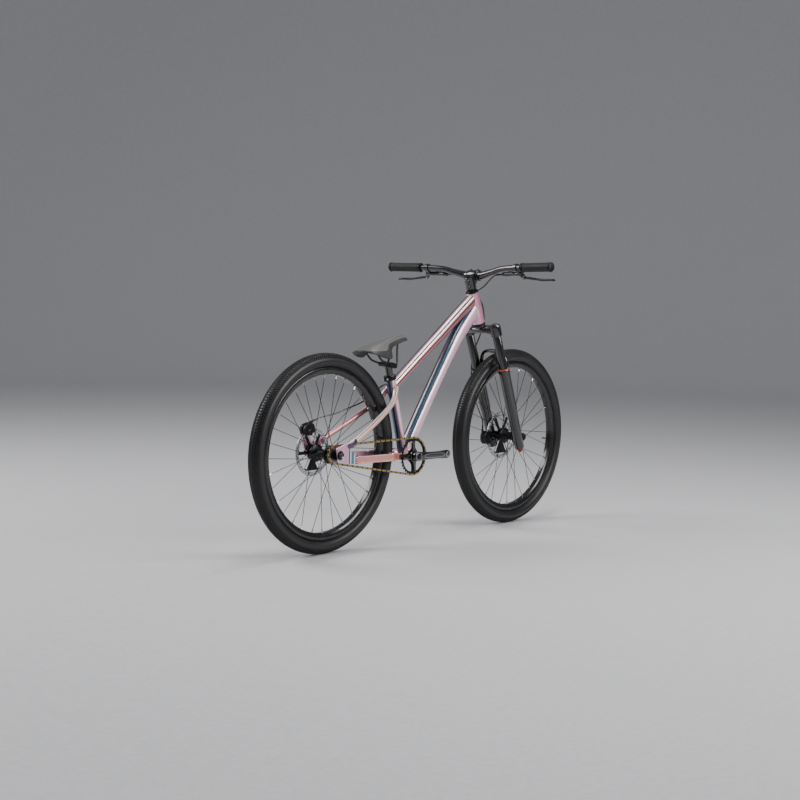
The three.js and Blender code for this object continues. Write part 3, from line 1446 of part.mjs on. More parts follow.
const legBore = post(stanchionRadius + fitGap, lowerBoreFloor, lowerLegTop + cutOverrun, legFacets);
const lowerAxleHole = moved(
  disc(frontAxleRadius + fitGap, -2 * lugOuter, 2 * lugOuter, 12),
  shift(forkOffset, 0, 0),
);
piece(lowers, 'fork_lowers', cut(
  joined(...onBothLegs(legShape), lug, mirrored(lug), arch, ...brakePosts),
  ...onBothLegs(legBore),
  lowerAxleHole,
), looks.gloss);

const frontAxleHalf = [
  [frontAxleRadius, lugOuter + fitGap],
  [frontAxleHeadRadius, lugOuter + fitGap],
  [frontAxleHeadRadius, lugOuter + fitGap + frontAxleHeadHeight],
  [0, lugOuter + fitGap + frontAxleHeadHeight],
];
piece(lowers, 'front_axle', moved(
  turned([...frontAxleHalf.map(([r, y]) => [r, -y]).reverse(), ...frontAxleHalf], 12),
  shift(forkOffset, 0, 0),
), looks.black);

piece(lowers, 'front_caliper', moved(caliperSolid({
  inner: frontCaliperInner,
  inside: frontCaliperInside,
  outside: frontCaliperOutside,
  rotorAt: frontRotorOffset,
  rotorRadius: frontRotorRadius,
}), frontCaliperFrame), looks.black);

// Rebound knob under the right leg
piece(lowers, 'rebound_knob', moved(
  post(knobRadius, lowerLegFoot - fitGap - knobHeight, lowerLegFoot - fitGap, 12),
  shift(legSetForward, -legHalfSpacing, 0),
), looks.red);

// Front brake hose: from the left lever past the head tube and down the left leg to its caliper
const frontHosePlaces = [
  [279.1, 119.3, 946],
  [280.9, 96, 944.5],
  [303, 58, 924],
  [325, 28, 886],
  [337, 12, 846],
  [348, 8, 808],
  [358, 14, 767],
  [369, 40, 715],
  [381, 76, 655],
  [387, 89, 596],
  [392, 89, 545],
  [398, 83, 495],
  [402, 66, 445],
  [410, 50, 400],
  [411.9, 47.75, 378],
  [411.92, 47.75, 361.3],
];
piece(bike, 'front_brake_hose', hose(frontHosePlaces, frontHoseSteps), looks.hose);

// Rear brake hose: from the right lever round the front of the head tube, along the left side of
// the top tube and above the left seatstay to its caliper
const rearHosePlaces = [
  [279.1, -119.3, 946],
  [280.9, -96, 944.5],
  [294, -62, 930],
  [309, -22, 904],
  [308, 14, 883],
  [293, 36, 862],
  [262, 36, 838],
  [226, 29, 813.5],
  [155.6, 24, 764.2],
  [32.3, 21.5, 679],
  [-91, 20, 593.5],
  [-150, 21.5, 556],
  [-185, 28.5, 551],
  [-222, 35, 531],
  [-281, 40, 496],
  [-354, 48, 473],
  [-415, 52, 457],
  [-468, 58, 450],
  [-498, 59.6, 441.7],
  [-515.5, 59.6, 436.35],
];
piece(bike, 'rear_brake_hose', hose(rearHosePlaces, rearHoseSteps), looks.hose);

export default bike;
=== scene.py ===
# %% [markdown]
# A dirt jump bike, dressed for a studio picture. Each piece below is made in metres and in the
# place where the real one sits: X points forward, Y to the rider's left and Z up, and the floor
# is at zero. The first cell loads the plain solids that every piece has to fit.

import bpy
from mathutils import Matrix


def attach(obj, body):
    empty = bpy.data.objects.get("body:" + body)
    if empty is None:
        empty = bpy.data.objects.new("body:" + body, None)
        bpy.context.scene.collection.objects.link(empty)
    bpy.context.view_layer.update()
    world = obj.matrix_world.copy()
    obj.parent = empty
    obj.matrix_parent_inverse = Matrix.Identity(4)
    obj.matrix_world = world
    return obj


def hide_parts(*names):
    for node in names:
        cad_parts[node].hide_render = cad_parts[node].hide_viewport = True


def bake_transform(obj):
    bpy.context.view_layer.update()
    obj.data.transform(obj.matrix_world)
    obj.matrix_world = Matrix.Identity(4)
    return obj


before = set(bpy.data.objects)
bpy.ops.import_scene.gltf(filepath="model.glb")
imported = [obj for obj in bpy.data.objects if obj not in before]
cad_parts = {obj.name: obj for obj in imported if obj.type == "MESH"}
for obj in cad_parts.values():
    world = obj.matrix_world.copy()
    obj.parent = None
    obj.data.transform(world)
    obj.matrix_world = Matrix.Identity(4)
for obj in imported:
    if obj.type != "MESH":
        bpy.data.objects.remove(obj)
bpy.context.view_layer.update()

# %% [markdown]
# The photograph is taken from behind the rider's right shoulder, low down and from five metres
# away, so a long lens is needed. The camera is placed and turned with a matrix whose columns are
# its right, its up and its backward direction. That keeps its small roll exact.

# %% The camera
import math
import bpy
import numpy as np
from mathutils import Matrix, Vector

MM = 0.001
TURN = 2 * math.pi

camera_place = Vector((-4.0105, -3.286, 0.844))
camera_yaw = math.radians(40.29)
camera_pitch = math.radians(-3.91)
camera_roll = math.radians(1.2)
lens_pixels = 1455.8
picture_pixels = 800
sensor_width = 36

ahead = Vector((
    math.cos(camera_pitch) * math.cos(camera_yaw),
    math.cos(camera_pitch) * math.sin(camera_yaw),
    math.sin(camera_pitch),
))
level_right = ahead.cross(Vector((0, 0, 1))).normalized()
level_up = level_right.cross(ahead)
right = math.cos(camera_roll) * level_right + math.sin(camera_roll) * level_up
up = math.cos(camera_roll) * level_up - math.sin(camera_roll) * level_right
camera_data = bpy.data.cameras.new("camera")
camera_data.sensor_width = sensor_width
camera_data.lens = sensor_width * lens_pixels / picture_pixels
camera = bpy.data.objects.new("camera", camera_data)
bpy.context.scene.collection.objects.link(camera)
camera.matrix_world = Matrix((
    (right.x, up.x, -ahead.x, camera_place.x),
    (right.y, up.y, -ahead.y, camera_place.y),
    (right.z, up.z, -ahead.z, camera_place.z),
    (0, 0, 0, 1),
))
bpy.context.scene.camera = camera
print("lens:", round(camera_data.lens, 1), "mm")

# %% [markdown]
# Every piece is a mesh that a few small functions make. Rings of points joined by quads give
# tubes, turned pieces and moulded ones alike, so one function joins rings, and the others only
# say where the rings lie. Each face corner also gets a pair of numbers, round the piece and
# along it, which the finishes use to lay stripes and ribs exactly where they belong.

# %% Shapes from rings of points
class Shape:
    """Points, faces and the pair of numbers at each face corner."""

    def __init__(self):
        self.points, self.faces, self.around = [], [], []

    def add(self, points, faces, around=None, matrix=None):
        start = len(self.points)
        self.points += [matrix @ Vector(p) if matrix else Vector(p) for p in points]
        self.faces += [[start + k for k in face] for face in faces]
        self.around += around if around else [[(0.0, 0.0)] * len(face) for face in faces]
        return self

    def join(self, other, matrix=None):
        return self.add(other.points, other.faces, other.around, matrix)

    def moved(self, matrix=None):
        """A copy, moved by a matrix."""
        return Shape().join(self, matrix)


def placed(place):
    """The matrix that moves a shape to a place in millimetres."""
    return Matrix.Translation(Vector(place) * MM)


def turns(count, shift=0.0):
    """The angles that share a full turn evenly."""
    return [TURN * (k + shift) / count for k in range(count)]


def polar(radius, turn):
    return radius * math.cos(turn), radius * math.sin(turn)


def around_y(radius, turn, across=0.0):
    """A place on a circle about the Y axis, turned from X towards Z."""
    x, z = polar(radius, turn)
    return Vector((x, across, z))


def rings_joined(rings, open_round=False, caps=True):
    """A skin over rings that hold the same count of points, closed round unless told otherwise."""
    count, rows = len(rings[0]), len(rings)
    shape = Shape()
    points = [p for ring in rings for p in ring]
    faces, around = [], []
    columns = count - 1 if open_round else count
    for row in range(rows - 1):
        for k in range(columns):
            a, b = row * count + k, row * count + (k + 1) % count
            faces.append([a, b, b + count, a + count])
            u0, u1 = k / count, (k + 1) / count
            v0, v1 = row / (rows - 1), (row + 1) / (rows - 1)
            around.append([(u0, v0), (u1, v0), (u1, v1), (u0, v1)])
    if caps:
        faces += [list(range(count))[::-1], list(range(count * (rows - 1), count * rows))]
        around += [
            [(k / count, 0.0) for k in range(count)][::-1], [(k / count, 1.0) for k in range(count)]
        ]
    return shape.add(points, faces, around)


def turned(profile, sides=32, closed=False):
    """A full turn about the Y axis of points given as radius and place, in millimetres."""
    profile = [*profile, profile[0]] if closed else profile
    rings = []
    for radius, place in profile:
        r = max(radius, 0.001) * MM
        rings.append([around_y(r, -turn, place * MM) for turn in turns(sides)])
    return rings_joined(rings, caps=not closed)


def smooth_path(places, steps):
    """Points evenly shared along the smooth curve through some places, of any count of numbers."""
    p = np.array(places, float)
    p = np.vstack([2 * p[0] - p[1], p, 2 * p[-1] - p[-2]])
    found = []
    for t in np.linspace(0, len(places) - 1, steps + 1):
        k = min(int(t), len(places) - 2)
        s = t - k
        a, b, c, d = p[k:k + 4]
        bend, twist = 2 * a - 5 * b + 4 * c - d, 3 * b - a - 3 * c + d
        found.append(0.5 * (2 * b + (c - a) * s + bend * s**2 + twist * s**3))
    return found


def squared_off(turn, power):
    """A circle's two numbers, pushed out towards its corners where power is below 1."""
    return [math.copysign(abs(n) ** power, n) for n in polar(1, turn)]


def both_halves(half, middle):
    """A path from the left end over a middle station to the mirrored right end."""
    return half + [middle] + [(x, -y, z, h, w) for x, y, z, h, w in reversed(half)]


def swept(stations, steps, sides=24, power=2.0, side=Vector((0, 1, 0)), caps=True):
    """A tube along a smooth path. A station is x, y, z, half height and half width, in
    millimetres, and power squares off the section: 2 is an oval."""
    path = smooth_path(stations, steps) if steps else [np.array(s, float) for s in stations]
    rings = []
    for k, spot in enumerate(path):
        before, after = path[max(k - 1, 0)], path[min(k + 1, len(path) - 1)]
        along = Vector(after[:3] - before[:3]).normalized()
        across = (side - along * along.dot(side)).normalized()
        rise = along.cross(across)
        ring = []
        for turn in turns(sides, 0.5):
            c, s = squared_off(turn, 2 / power)
            ring.append((Vector(spot[:3]) + across * (c * spot[4]) + rise * (s * spot[3])) * MM)
        rings.append(ring)
    return rings_joined(rings, caps=caps)


def rod(start, end, radius, sides=16, end_radius=None):
    """A round rod between two places in millimetres."""
    start, end = Vector(start), Vector(end)
    along = (end - start).normalized()
    across = along.orthogonal().normalized()
    rise = along.cross(across)
    rings = []
    for place, r in ((start, radius), (end, end_radius or radius)):
        places = (place + across * r * math.cos(t) + rise * r * math.sin(t) for t in turns(sides))
        rings.append([spot * MM for spot in places])
    return rings_joined(rings)


def cross_rod(spot, low, high, radius, sides=16, end_radius=None):
    """A rod along Y, between two places across the bike, at a spot in X and Z."""
    x, z = spot
    return rod((x, low, z), (x, high, z), radius, sides, end_radius)


def block(low, high):
    """A box between two corners in millimetres."""
    (a, b, c), (d, e, f) = low, high
    ring = lambda z: [Vector((x, y, z)) * MM for x, y in ((a, b), (d, b), (d, e), (a, e))]
    return rings_joined([ring(c), ring(f)])


# %% [markdown]
# Flat pieces such as gears, brake rotors and dropouts are stamped or milled from plate. Blender's
# 2D curves fill an outline and leave its holes open, and can round the edges in the same step.

# %% Plates with holes
def circle(radius, sides=24, x=0.0, z=0.0):
    return [(x + a, z + b) for a, b in (polar(radius, turn) for turn in turns(sides))]


def arc(radius, low, high, steps, x=0.0, z=0.0):
    """Places on part of a circle, between two angles in degrees."""
    degrees = (low + (high - low) * k / steps for k in range(steps + 1))
    return [(x + a, z + b) for a, b in (polar(radius, math.radians(d)) for d in degrees)]


def plate(outlines, low, high, edge=0.3):
    """A plate between two places along Y whose outlines, in X and Z, hold first the edge and then
    the holes. All sizes are in millimetres."""
    curve = bpy.data.curves.new("plate", "CURVE")
    curve.dimensions = "2D"
    curve.fill_mode = "BOTH"
    for outline in outlines:
        spline = curve.splines.new("POLY")
        spline.points.add(len(outline) - 1)
        for point, (x, z) in zip(spline.points, outline):
            point.co = (x * MM, z * MM, 0, 1)
        spline.use_cyclic_u = True
    curve.extrude = ((high - low) / 2 - edge) * MM
    curve.bevel_depth = edge * MM
    curve.bevel_resolution = 1
    curve.offset = -edge * MM
    holder = bpy.data.objects.new("plate", curve)
    bpy.context.scene.collection.objects.link(holder)
    bpy.context.view_layer.update()
    depsgraph = bpy.context.evaluated_depsgraph_get()
    mesh = bpy.data.meshes.new_from_object(holder.evaluated_get(depsgraph))
    middle = (low + high) / 2 * MM
    points = [Vector((v.co.x, middle - v.co.z, v.co.y)) for v in mesh.vertices]
    faces = [list(face.vertices) for face in mesh.polygons]
    bpy.data.objects.remove(holder)
    bpy.data.curves.remove(curve)
    bpy.data.meshes.remove(mesh)
    return Shape().add(points, faces)


# %% [markdown]
# A finished shape becomes one Blender object. It rides on the solid body that carries it, unless
# it is given bends_to, when it is only left where it is drawn. It stands for the plain solids that
# it hides, and is shaded smooth except across its sharp edges.

# %% Making a piece
def piece(name, shape, finish, body, slot, stands_for=(), sharp=38, bevel=0.0, bends_to=None):
    mesh = bpy.data.meshes.new(name)
    mesh.from_pydata([tuple(p) for p in shape.points], [], shape.faces)
    layer = mesh.uv_layers.new(name="around")
    corners = [pair for face in shape.around for pair in face]
    layer.data.foreach_set("uv", [number for pair in corners for number in pair])
    mesh.validate()
    mesh.shade_smooth()
    mesh.set_sharp_from_angle(angle=math.radians(sharp))
    mesh.materials.append(finish)
    obj = bpy.data.objects.new(name, mesh)
    bpy.context.scene.collection.objects.link(obj)
    if bevel:
        rounding = obj.modifiers.new("edges", "BEVEL")
        rounding.width = bevel * MM
        rounding.segments = 2
        rounding.limit_method = "ANGLE"
        rounding.angle_limit = math.radians(sharp)
    if bends_to:
        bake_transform(obj)
    else:
        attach(obj, body)
    if stands_for:
        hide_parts(*stands_for)
    return obj


def mirrored(shape):
    """The same shape on the other side of the bike's middle plane."""
    points = [(p[0], -p[1], p[2]) for p in shape.points]
    return Shape().add(points, [f[::-1] for f in shape.faces], [a[::-1] for a in shape.around])


def both_sides(drawn, name, shape, finish, body, slot, *stands_for, **settings):
    """A piece on the side that it is drawn for, and its mirror image on the other one. A star in
    a name stands for the side."""
    other = "left" if drawn == "right" else "right"
    for side, form in ((drawn, shape), (other, mirrored(shape))):
        named = [word.replace("*", side) for word in (name, body, *stands_for)]
        piece(named[0], form, finish, named[1], slot, named[2:], **settings)


# %% [markdown]
# Finishes are built from nodes. Most of them share one recipe: a base colour that a fine noise
# varies a little, a roughness with smudges in it, and a slight bump. Only the scale and the
# strength differ from rubber to bare steel, so one function makes the plain ones.

# %% Plain finishes
def colour(code):
    """A colour written as six hex digits, as the linear numbers that shaders use."""
    parts = [int(code[k:k + 2], 16) / 255 for k in (0, 2, 4)]
    return [c / 12.92 if c <= 0.04045 else ((c + 0.055) / 1.055) ** 2.4 for c in parts] + [1.0]


class Nodes:
    """Adds nodes to a material and links them in one line each."""

    def __init__(self, name):
        self.material = bpy.data.materials.new(name)
        self.material.use_nodes = True
        self.tree = self.material.node_tree
        self.shader = self.tree.nodes["Principled BSDF"]

    def add(self, kind, settings=None, **inputs):
        node = self.tree.nodes.new(kind)
        for key, value in (settings or {}).items():
            setattr(node, key, value)
        for key, value in inputs.items():
            self.feed(node, int(key[1:]) if key[0] == "i" and key[1:].isdigit() else key, value)
        return node

    def feed(self, node, key, value):
        socket = node.inputs[key]
        if isinstance(value, bpy.types.NodeSocket):
            self.tree.links.new(value, socket)
        else:
            socket.default_value = value

    def ramp(self, key, factor, stops):
        """Feeds the shader from a colour ramp: stops are places along the factor and colours."""
        node = self.add("ShaderNodeValToRGB", Fac=factor)
        elements = node.color_ramp.elements
        while len(elements) < len(stops):
            elements.new(0.5)
        for element, (place, shade) in zip(elements, stops):
            element.position = place
            element.color = shade
        self.feed(self.shader, key, node.outputs["Color"])

    def colours(self, factor, bands):
        """The base colour, from places along a factor and hex codes."""
        self.ramp("Base Color", factor, [(place, colour(code)) for place, code in bands])

    def roughness(self, factor, rough, start=0.3, end=0.7):
        """The roughness, from its values where the factor is low and where it is high."""
        self.ramp("Roughness", factor, [(p, (r, r, r, 1)) for p, r in zip((start, end), rough)])

    def gloss(self, **values):
        """Plain values for the shader, with an underscore for each space in a key."""
        for key, value in values.items():
            self.feed(self.shader, key.replace("_", " "), value)

    def round_place(self):
        """How far round its piece a spot lies, from 0 to 1."""
        pair = self.add("ShaderNodeUVMap", {"uv_map": "around"}).outputs["UV"]
        return self.add("ShaderNodeSeparateXYZ", Vector=pair).outputs["X"]

    def bump(self, height, strength, distance):
        node = self.add("ShaderNodeBump", Strength=strength, Distance=distance, Height=height)
        self.feed(self.shader, "Normal", node.outputs["Normal"])


def noise(nodes, scale, detail=3.0, stretch=None):
    place = nodes.add("ShaderNodeTexCoord").outputs["Object"]
    if stretch:
        place = nodes.add("ShaderNodeMapping", Scale=stretch, Vector=place).outputs["Vector"]
    return nodes.add("ShaderNodeTexNoise", Scale=scale, Detail=detail, Vector=place).outputs["Fac"]


def finish(name, dark, light, rough, metal, coat, grain, bump, stretch=None):
    nodes = Nodes(name)
    fine = noise(nodes, grain, stretch=stretch)
    nodes.colours(fine, [(0.3, dark), (0.7, light)])
    nodes.roughness(noise(nodes, 22.0), rough)
    nodes.gloss(Metallic=metal, Coat_Weight=coat, Coat_Roughness=0.08)
    nodes.bump(fine, bump, 0.0002)
    return nodes.material


gloss_black = finish("gloss_black", "0a0a0c", "101013", (0.12, 0.22), 0.2, 1.0, 500, 0.03)
satin_black = finish("satin_black", "0f0f11", "1a1a1d", (0.3, 0.44), 0.55, 0.0, 1400, 0.2)
spoke_black = finish("spoke_black", "0b0b0c", "151517", (0.25, 0.4), 0.7, 0.0, 1200, 0.1)
bare_steel = finish(
    "bare_steel", "8d9096", "b4b7bc", (0.2, 0.36), 1.0, 0.0, 300, 0.1, stretch=(1, 6, 1)
)
bright_alloy = finish("bright_alloy", "9a9da3", "c9ccd1", (0.16, 0.3), 1.0, 0.0, 700, 0.08)
dark_alloy = finish("dark_alloy", "2c2d31", "43454b", (0.25, 0.4), 1.0, 0.0, 900, 0.1)
gold_steel = finish("gold_steel", "937647", "cfb37c", (0.22, 0.38), 1.0, 0.0, 900, 0.1)
dark_bronze = finish("dark_bronze", "2a2118", "4a3a24", (0.3, 0.45), 1.0, 0.0, 900, 0.1)
red_alloy = finish("red_alloy", "7c120d", "b02218", (0.22, 0.34), 0.9, 0.4, 900, 0.08)
copper_seal = finish("copper_seal", "9c3a1c", "c25a30", (0.35, 0.5), 0.3, 0.0, 900, 0.1)
hose_black = finish("hose_black", "070708", "0e0e10", (0.14, 0.24), 0.0, 0.6, 300, 0.05)
white_mark = finish("white_mark", "a9abaf", "c6c8cb", (0.3, 0.42), 0.1, 0.3, 700, 0.05)
print("plain finishes:", len(bpy.data.materials))

# %% [markdown]
# Each wheel begins with its tyre. The casing is a round section turned about the axle, and the
# tread is many small rubber blocks in staggered rows, as on a fast tyre for hard ground. Blocks
# made as geometry, instead of a bump, break up the tyre's edge where it stands against the light.

# %% Tyre rubber and tyres
wheel_places = {"rear": (-518.5, 0.0, 334.0), "front": (518.5, 0.0, 334.0)}
wheel_spots = {end: placed(place) for end, place in wheel_places.items()}
wheel_sides = 112
section_middle = 307.0
section_half_height = 24.5
section_half_width = 26.2
tread_rows = 208
tread_height = 2.2
tread_columns = (
    (0, 9.5, 0.0), (21, 7.0, 0.5), (-21, 7.0, 0.5), (39, 6.5, 0.0), (-39, 6.5, 0.0), (57, 7.5, 0.5),
    (-57, 7.5, 0.5)
)


def casing_spot(angle, out=0.0):
    """Radius and place across, on the casing or above it."""
    c, s = math.cos(angle), math.sin(angle)
    return section_middle + section_half_height * c + out * c, (section_half_width + out) * s


def tread_blocks():
    blocks = Shape()
    for degrees, half_degrees, stagger in tread_columns:
        for middle in turns(tread_rows, stagger):
            rings = []
            for out, shrink in ((-0.6, 1.0), (tread_height, 0.82)):
                ring = []
                for across, along in ((-1, -1), (1, -1), (1, 1), (-1, 1)):
                    r, y = casing_spot(math.radians(degrees + across * half_degrees * shrink), out)
                    turn = middle + along * shrink * 0.62 * math.pi / tread_rows
                    ring.append(around_y(r, -turn, y) * MM)
                rings.append(ring)
            blocks.join(rings_joined(rings))
    return blocks


def rubber(name, dark, light, rough):
    nodes = Nodes(name)
    place = nodes.add("ShaderNodeTexCoord").outputs["Object"]
    grain = nodes.add("ShaderNodeTexNoise", Scale=520.0, Detail=4.0, Vector=place).outputs["Fac"]
    dust = nodes.add("ShaderNodeTexNoise", Scale=9.0, Detail=5.0, Vector=place).outputs["Fac"]
    mixed = nodes.add("ShaderNodeMath", {"operation": "MULTIPLY"}, i0=grain, i1=dust).outputs[0]
    nodes.colours(mixed, [(0.12, dark), (0.42, light)])
    nodes.roughness(dust, rough)
    nodes.bump(grain, 0.35, 0.0003)
    return nodes.material


tread_rubber = rubber("tread_rubber", "101113", "1d1e20", (0.6, 0.78))
wall_rubber = rubber("wall_rubber", "0c0c0d", "151517", (0.34, 0.46))
casing_profile = [casing_spot(math.radians(a)) for a in range(-112, 113, 8)]
side_ridges = ((294.5, 0.5), (298.5, 0.35))
bead_profile = [(293.0, 22.2), (290.0, 18.6), (288.2, 15.4), (286.9, 13.2), (283.0, 11.8)]
tyre_profile = [(r, -y) for r, y in reversed(bead_profile)] + casing_profile + bead_profile
tyre_shape = turned(tyre_profile, wheel_sides, closed=True)
tread_shape = tread_blocks()
ridge_shape = Shape()
for ridge_radius, ridge_out in side_ridges:
    for side in (-1, 1):
        angle = math.acos((ridge_radius - section_middle) / section_half_height)
        y = side * (casing_spot(angle)[1] + ridge_out / 2)
        ridge = [
            (ridge_radius + dr, y + side * dy)
            for dr, dy in ((-0.7, -0.4), (0, ridge_out), (0.7, -0.4))
        ]
        ridge_shape.join(turned(ridge, wheel_sides, closed=True))


def on_wheel(end, name, shape, finish, slot, *stands_for, **settings):
    """A piece that turns with one wheel, drawn about the origin. Its names start with the end."""
    solids = [f"{end}_{solid}" for solid in stands_for]
    moved_shape = shape.moved(wheel_spots[end])
    piece(f"{end}_{name}", moved_shape, finish, end + "_wheel", slot, solids, **settings)


tyre_shape.join(ridge_shape)
for end in wheel_places:
    on_wheel(end, "tyre_casing", tyre_shape, wall_rubber, "tyre_rubber", "tyre", sharp=50)
    on_wheel(end, "tyre_tread", tread_shape, tread_rubber, "tyre_rubber")
print("tread blocks on a tyre:", len(tread_columns) * tread_rows)

# %% [markdown]
# The rim is a hollow black section, turned in one piece. Its two lips catch the light as thin
# bright lines. The spokes are straight round wires laced in pairs that cross twice, and each one
# ends at the rim in a small silver nipple.

# %% Rims, hubs and spokes
rim_half_profile = [
    (280.0, 12.2), (285.4, 12.5), (286.2, 13.6), (286.0, 15.2), (284.6, 16.0), (276.0, 15.4),
    (266.5, 12.6), (262.9, 9.6), (262.2, 4.0),
]
rim_profile = [(r, -y) for r, y in rim_half_profile] + rim_half_profile[::-1]
rim_shape = turned(rim_profile, wheel_sides, closed=True)
flanges = {"rear": (34.0, -26.0), "front": (22.0, -34.0)}
hub_ends = {"rear": (17.0, 56.0), "front": (15.5, 49.5)}
rotor_places = {"rear": (52.0, 80.0), "front": (39.5, 90.0)}
spokes_a_flange = 16
spoke_wrap = math.radians(45)
spoke_hub_radius = 27.6
spoke_rim_radius = 253.0
rim_gloss = finish("rim_gloss", "09090a", "111113", (0.2, 0.34), 0.4, 0.5, 600, 0.06)


def hub_profile(end):
    left, right = flanges[end]
    end_radius, end_place = hub_ends[end]
    rotor_at = rotor_places[end][0]
    return [
        (6.0, -end_place), (end_radius - 1, -end_place), (end_radius, -end_place + 1),
        (end_radius, right - 6), (20, right - 3.5), (29.2, right - 1.6), (30, right - 0.9),
        (30, right + 0.9), (29.2, right + 1.6), (19, right + 4), (15.5, right + 9),
        (14.6, (left + right) / 2), (15.5, left - 9), (19, left - 4), (29.2, left - 1.6),
        (30, left - 0.9), (30, left + 0.9), (29.2, left + 1.6), (21, left + 3.5),
        (21, rotor_at - 1.2), (16.2, rotor_at - 1.2), (16.2, end_place - 1), (15.2, end_place),
        (6.0, end_place),
    ]


def spoke_set(flange, first, lean):
    wires, nipples = Shape(), Shape()
    for k, turn in enumerate(turns(spokes_a_flange)):
        way = 1 if k % 2 else -1
        at_rim = first + turn
        at_hub = at_rim + spoke_wrap * way
        head_side = 1.9 * way
        hub_spot = around_y(spoke_hub_radius, -at_hub, flange + head_side)
        rim_spot = around_y(spoke_rim_radius, -at_rim, lean * 2.4)
        along = (rim_spot - hub_spot).normalized()
        wires.join(rod(hub_spot, rim_spot, 1.0, 8))
        low, high = (hub_spot + Vector((0, head_side * n, 0)) for n in (-0.5, 0.6))
        wires.join(rod(low, high, 1.9, 8))
        nipples.join(rod(rim_spot - along * 3, rim_spot + along * 9.5, 1.75, 8, 2.3))
    return wires, nipples


for end in wheel_places:
    on_wheel(end, "rim_section", rim_shape, rim_gloss, "satin_black", "rim")
    hub = turned(hub_profile(end), 40, closed=True)
    on_wheel(end, "hub_shell", hub, satin_black, "satin_black", "hub")
    left, right = flanges[end]
    wires, nipples = spoke_set(left, 0.0, 1)
    for whole, part in zip((wires, nipples), spoke_set(right, math.pi / spokes_a_flange, -1)):
        whole.join(part)
    on_wheel(end, "spokes", wires, spoke_black, "spoke_black", "spokes_left", "spokes_right")
    on_wheel(end, "nipples", nipples, bright_alloy, "bare_steel")
    valve_turn = 0.5 * math.pi / spokes_a_flange
    valve_line = [around_y(r, -valve_turn) for r in (262, 246, 234, 226)]
    valve = Shape()
    for (a, b), r in zip(zip(valve_line, valve_line[1:]), (3.0, 2.6, 3.2)):
        valve.join(rod(a, b, r, 12))
    on_wheel(end, "valve", valve, gloss_black, "satin_black", bevel=0.3)
print("spokes:", 4 * spokes_a_flange)

# %% [markdown]
# The brake rotors are thin steel rings with rows of drilled holes, which are what one sees of
# them from afar. Each ring hangs on a black carrier with six arms, and six bolts hold the carrier
# to the hub. All of them are plates with outlines, so the helper for plates cuts them.

# %% Brake rotors
rotor_band = 14.5
rotor_half_thickness = 0.95
carrier_arms = 6


def carrier_outline(seat_radius, arm_end):
    valley, shoulder = (0.42, seat_radius + 3), (0.2, seat_radius + 7)
    corners = [(-t, r) for t, r in (valley, shoulder, (0.085, arm_end))]
    corners += [(0.085, arm_end), shoulder, valley]
    return [polar(r, middle + t) for middle in turns(carrier_arms) for t, r in corners]


for end, (at, radius) in rotor_places.items():
    outlines = [circle(radius - 0.3, 96), circle(radius - rotor_band, 72)]
    for row, (inset, hole) in enumerate(((3.6, 1.7), (7.4, 2.1), (11.2, 1.7))):
        spots = [polar(radius - inset, turn) for turn in turns(36, 0.36 * row)]
        outlines += [circle(hole, 8, x, z) for x, z in spots]
    ring = plate(outlines, at - rotor_half_thickness, at + rotor_half_thickness, 0.15)
    on_wheel(end, "rotor_ring", ring, bare_steel, "bare_steel", "rotor")
    carrier = [carrier_outline(20, radius - rotor_band + 1.5), circle(16.6, 32)]
    carrier += [circle(2.6, 10, *polar(24, turn)) for turn in turns(carrier_arms, 0.5)]
    spider = plate(carrier, at - 1.4, at + 1.4, 0.3)
    on_wheel(end, "rotor_carrier", spider, satin_black, "satin_black")
    bolts = Shape()
    for turn in turns(carrier_arms):
        bolts.join(cross_rod(polar(20.2, turn), at + 1.2, at + 3.6, 4.2, 12, 3.4))
        arm_end = polar(radius - rotor_band - 1.4, turn)
        bolts.join(cross_rod(arm_end, at - 1.8, at + 1.8, 3.0, 12))
    on_wheel(end, "rotor_bolts", bolts, dark_alloy, "bare_steel", bevel=0.3)
print("rotor radii:", [radius for _, radius in rotor_places.values()], "mm")

# %% [markdown]
# The chain runs round two gears in one flat loop. Its length is a whole count of links, so the
# pitch is adjusted by a hair to close the loop. Every link has two waisted side plates and a
# roller, and inner and outer links alternate, which gives the beaded look.

# %% Gears and chain
crank_middle = Vector((-112.5, 0.0, 302.0))
chain_line = Vector((0, -47.0, 0))
cog_place, ring_place = Vector(wheel_places["rear"]) + chain_line, crank_middle + chain_line
chain_pitch = 12.7
cog_teeth, ring_teeth = 14, 32
pitch_radius = lambda teeth: chain_pitch / (2 * math.sin(math.pi / teeth))


def toothed(teeth):
    middle = pitch_radius(teeth)
    tooth = (
        (0.0, -3.6), (0.16, -3.0), (0.3, 0.2), (0.42, 2.5), (0.58, 2.5), (0.7, 0.2), (0.84, -3.0)
    )
    places = [(middle + out, k + share) for k in range(teeth) for share, out in tooth]
    return [polar(r, TURN * step / teeth) for r, step in places]


def chain_loop():
    """A place for each distance along the two straight runs and the two arcs, and the length."""
    small, big = pitch_radius(cog_teeth), pitch_radius(ring_teeth)
    line = ring_place - cog_place
    distance, tilt = math.hypot(line.x, line.z), math.atan2(line.z, line.x)
    spread = math.asin((big - small) / distance)
    run, big_arc = distance * math.cos(spread), big * (math.pi + 2 * spread)
    total = run + big_arc + run + small * (math.pi - 2 * spread)
    top, bottom = tilt + math.pi / 2 + spread, tilt - math.pi / 2 - spread
    gears = ((small, cog_place), (big, ring_place))
    ends = [place + around_y(r, turn) for turn in (top, bottom) for r, place in gears]

    def spot(s):
        s %= total
        if s < run:
            return ends[0].lerp(ends[1], s / run)
        s -= run
        if s < big_arc:
            return ring_place + around_y(big, top - s / big)
        s -= big_arc
        if s < run:
            return ends[3].lerp(ends[2], s / run)
        return cog_place + around_y(small, bottom - (s - run) / small)

    return spot, total


